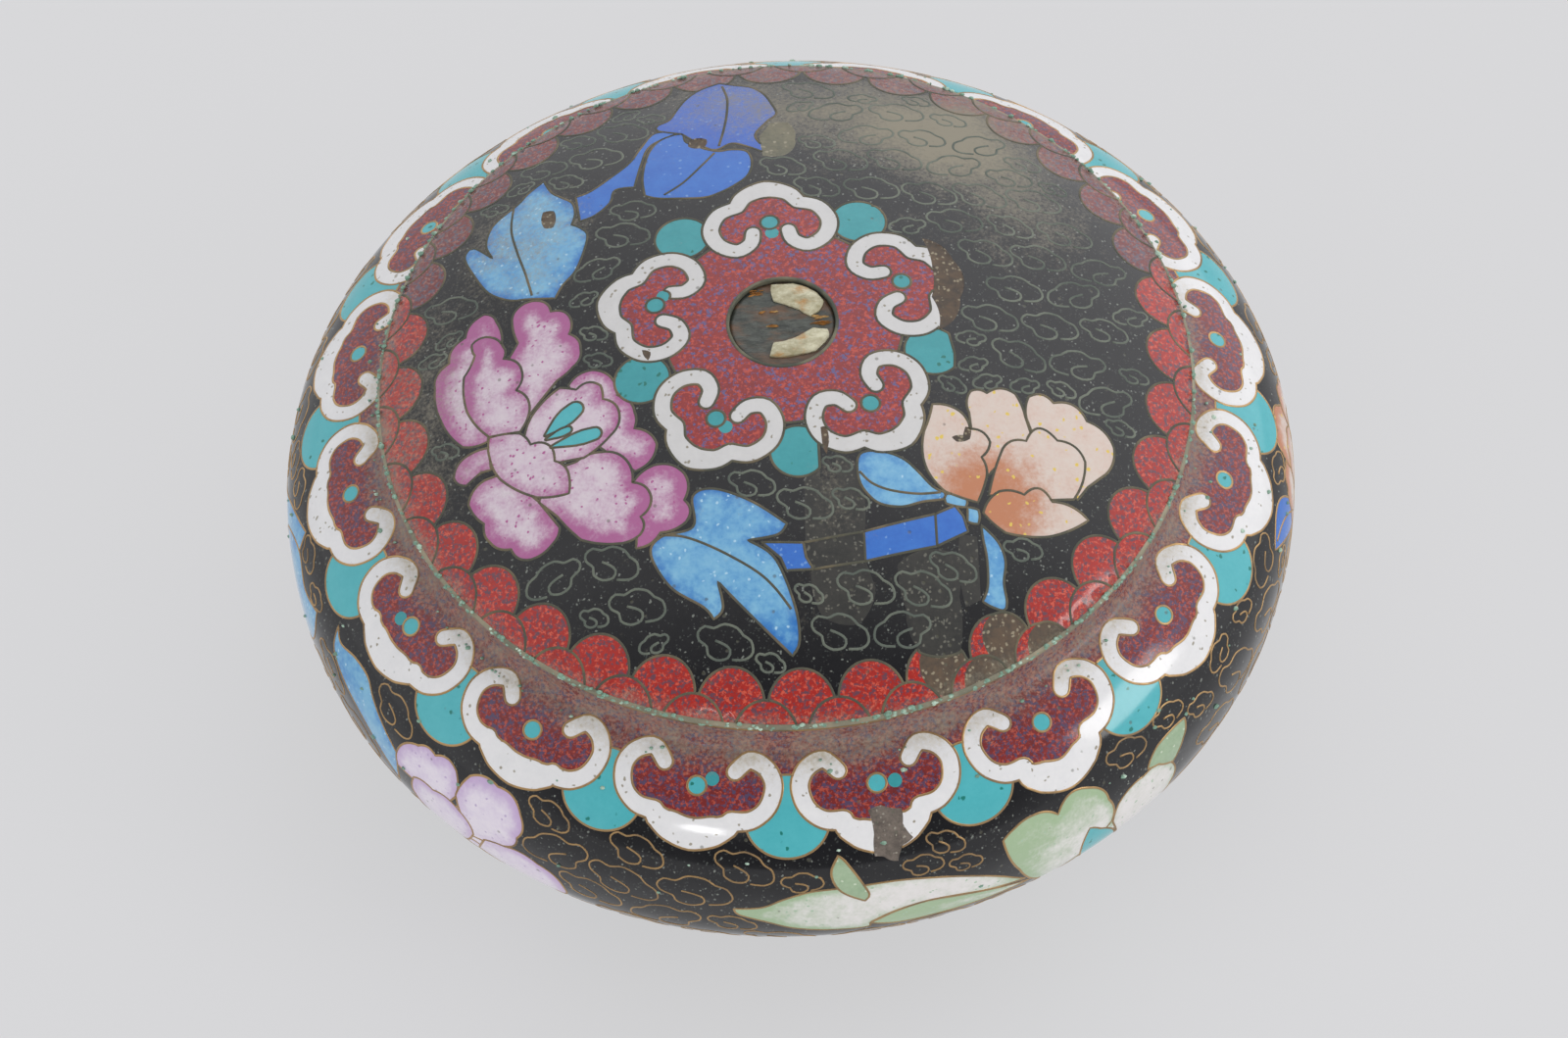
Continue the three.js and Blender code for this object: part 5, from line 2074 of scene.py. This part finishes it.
BRASS_RING = MetalFinish(srgb(186, 150, 98), srgb(120, 100, 72), srgb(110, 150, 130), tarnished=0.5,
    crusted=0.02, roughness=0.36)
TARNISHED_RING = MetalFinish(srgb(150, 142, 120), srgb(114, 114, 98), srgb(158, 180, 162), tarnished=0.5,
    crusted=0.3, roughness=0.5, metallic=0.3)
CEMENT = MineralFinish(srgb(78, 82, 75), srgb(44, 48, 45), srgb(100, 74, 54), streaks=0.46,
    roughness=0.45, run=3.0)
STONE = MineralFinish(srgb(202, 198, 170), srgb(150, 142, 110), srgb(172, 130, 76), streaks=0.4,
    roughness=0.26, grain=1.6, run=1.6)
COLLET = MetalFinish(srgb(116, 112, 92), srgb(76, 80, 70), srgb(142, 158, 142), tarnished=0.55,
    crusted=0.3, roughness=0.6, metallic=0.2)
AMBER = MineralFinish(srgb(178, 122, 60), srgb(132, 92, 56), srgb(206, 172, 116), streaks=0.45,
    roughness=0.3, grain=0.9)
VERDIGRIS = MineralFinish(srgb(138, 174, 154), srgb(104, 132, 114), srgb(190, 212, 194), streaks=0.42,
    grain=0.4)


# ---------------------------------------------------------------------------------------------
# Camera, light and floor
# ---------------------------------------------------------------------------------------------


@dataclass
class Studio:
    """The pale floor, the soft lights, and the camera, set out from a point on the box's axis."""

    pitch: float = 55.32  # degrees that the view looks down
    roll: float = -2.88
    distance: float = 612.5
    aside: float = 0.15  # how far right of the frame's middle that point lies
    above: float = -14.37  # negative, because it lies above the middle
    aim_height: float = 38.62
    lens: float = 131.5
    dim_side: tuple[float, float, float] = (0.0, -0.84, 0.54)
    bright_side: tuple[float, float, float] = (0.53, 0.75, 0.39)
    sky_strength: float = 0.95
    floor_glow: float = 0.56
    floor_half: float = 3000.0

    def camera(self) -> None:
        """Places the camera."""
        down, turn = math.radians(self.pitch), math.radians(self.roll)
        right = Vector((1, 0, 0))
        forward = Vector((0, math.cos(down), -math.sin(down)))
        lower = Vector((0, -math.sin(down), -math.cos(down)))
        across = math.cos(turn) * right - math.sin(turn) * lower
        below = math.sin(turn) * right + math.cos(turn) * lower
        offset = across * self.aside + below * self.above + forward * self.distance
        place = (Vector((0, 0, self.aim_height)) - offset) * MM
        data = bpy.data.cameras.new("camera")
        data.lens = self.lens
        data.sensor_width = 36.0
        camera = bpy.data.objects.new("camera", data)
        axes = Matrix((across, -below, -forward)).transposed()
        camera.matrix_world = Matrix.Translation(place) @ axes.to_4x4()
        bpy.context.scene.collection.objects.link(camera)
        bpy.context.scene.camera = camera

    def lamp(self, name: str, place: tuple[float, float, float], size: tuple[float, float], power: float,
             colour: Colour = (1, 1, 1, 1), mirrored: bool = True) -> None:
        """Adds a soft rectangular light, in metres, that faces the box.

        Args:
            name: The light's name.
            place: Its centre.
            size: Its width and height.
            power: Its power in watts.
            colour: Its colour.
            mirrored: Whether polished surfaces show it.
        """
        data = bpy.data.lights.new(name, "AREA")
        data.shape = "RECTANGLE"
        data.size, data.size_y = size
        data.energy = power
        data.color = colour[:3]
        light = bpy.data.objects.new(name, data)
        light.visible_glossy = mirrored
        light.location = place
        aim = Vector((0, 0, 0.03)) - Vector(place)
        light.rotation_euler = aim.to_track_quat("-Z", "Y").to_euler()
        bpy.context.scene.collection.objects.link(light)

    def floor(self) -> None:
        """A wide pale floor, lit a little from below as a light table is, with the faintest unevenness."""
        tree, shader, material = surface("floor")
        tone = tree.spread(tree.noise(tree.place(), scale=3.0, detail=2.0), 0.2, 0.8)
        tree.feed(shader.inputs["Base Color"], tree.mix(tone, srgb(88, 88, 91), srgb(94, 94, 97)))
        shader.inputs["Roughness"].default_value = 0.75
        shader.inputs["Emission Color"].default_value = srgb(254, 254, 255)
        shader.inputs["Emission Strength"].default_value = self.floor_glow
        corners = np.array([(-1, -1, 0), (1, -1, 0), (1, 1, 0), (-1, 1, 0)]) * self.floor_half
        floor = new_object("floor", corners, [(0, 1, 2, 3)], [material])
        floor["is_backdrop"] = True

    def build(self) -> None:
        """Sets up the studio."""
        self.camera()
        self.floor()
        self.lamp("window_right", (0.95, -0.34, 0.62), (0.42, 0.34), 2.4, (1.0, 0.98, 0.96, 1))
        self.lamp("front_left", (-0.42, -1.1, 0.8), (0.16, 0.1), 0.8)
        self.lamp("fill_left", (-0.75, -1.35, 0.42), (1.2, 0.8), 7.5, mirrored=False)
        self.lamp("fill_right", (0.75, -1.35, 0.42), (1.2, 0.8), 5.5, mirrored=False)
        self.sky()
        bpy.context.scene.view_settings.view_transform = "Standard"

    def sky(self) -> None:
        """Soft light from all round, dimmer from the front and brighter from the back right."""
        world = bpy.data.worlds.new("studio")
        world.use_nodes = True
        tree = Tree(world.node_tree)
        output, light = tree.add("ShaderNodeOutputWorld"), tree.add("ShaderNodeBackground")
        tree.feed(output.inputs["Surface"], light.outputs[0])
        toward = tree.place("Generated")
        dim = tree.spread(tree.vector("DOT_PRODUCT", toward, self.dim_side), 0.35, 0.93)
        bright = tree.spread(tree.vector("DOT_PRODUCT", toward, self.bright_side), 0.45, 1.0)
        glow = tree.mix(bright, (0.98, 0.98, 1.0, 1), (1.7, 1.7, 1.74, 1))
        tree.feed(light.inputs["Color"], tree.mix(dim, glow, (0.2, 0.2, 0.21, 1)))
        light.inputs["Strength"].default_value = self.sky_strength
        bpy.context.scene.world = world


def write_sizes() -> None:
    """Works out the box of the solids and the box of the dressed model as plain numbers."""
    boxes = {"cad": CAD_BOX, "visual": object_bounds()}
    plain = {name: [[float(v) for v in corner] for corner in box] for name, box in boxes.items()}


def main() -> None:
    """Builds the box and its surroundings."""
    logging.basicConfig(level=logging.INFO, format="%(message)s")
    outline = Outline.from_frame()
    Studio().build()
    Lid(outline).build()
    body = Body(outline)
    body.build()
    Rings(outline).build()
    Setting().build()
    Crust(outline, body).build()
    write_sizes()


if __name__ == "__main__":
    main()
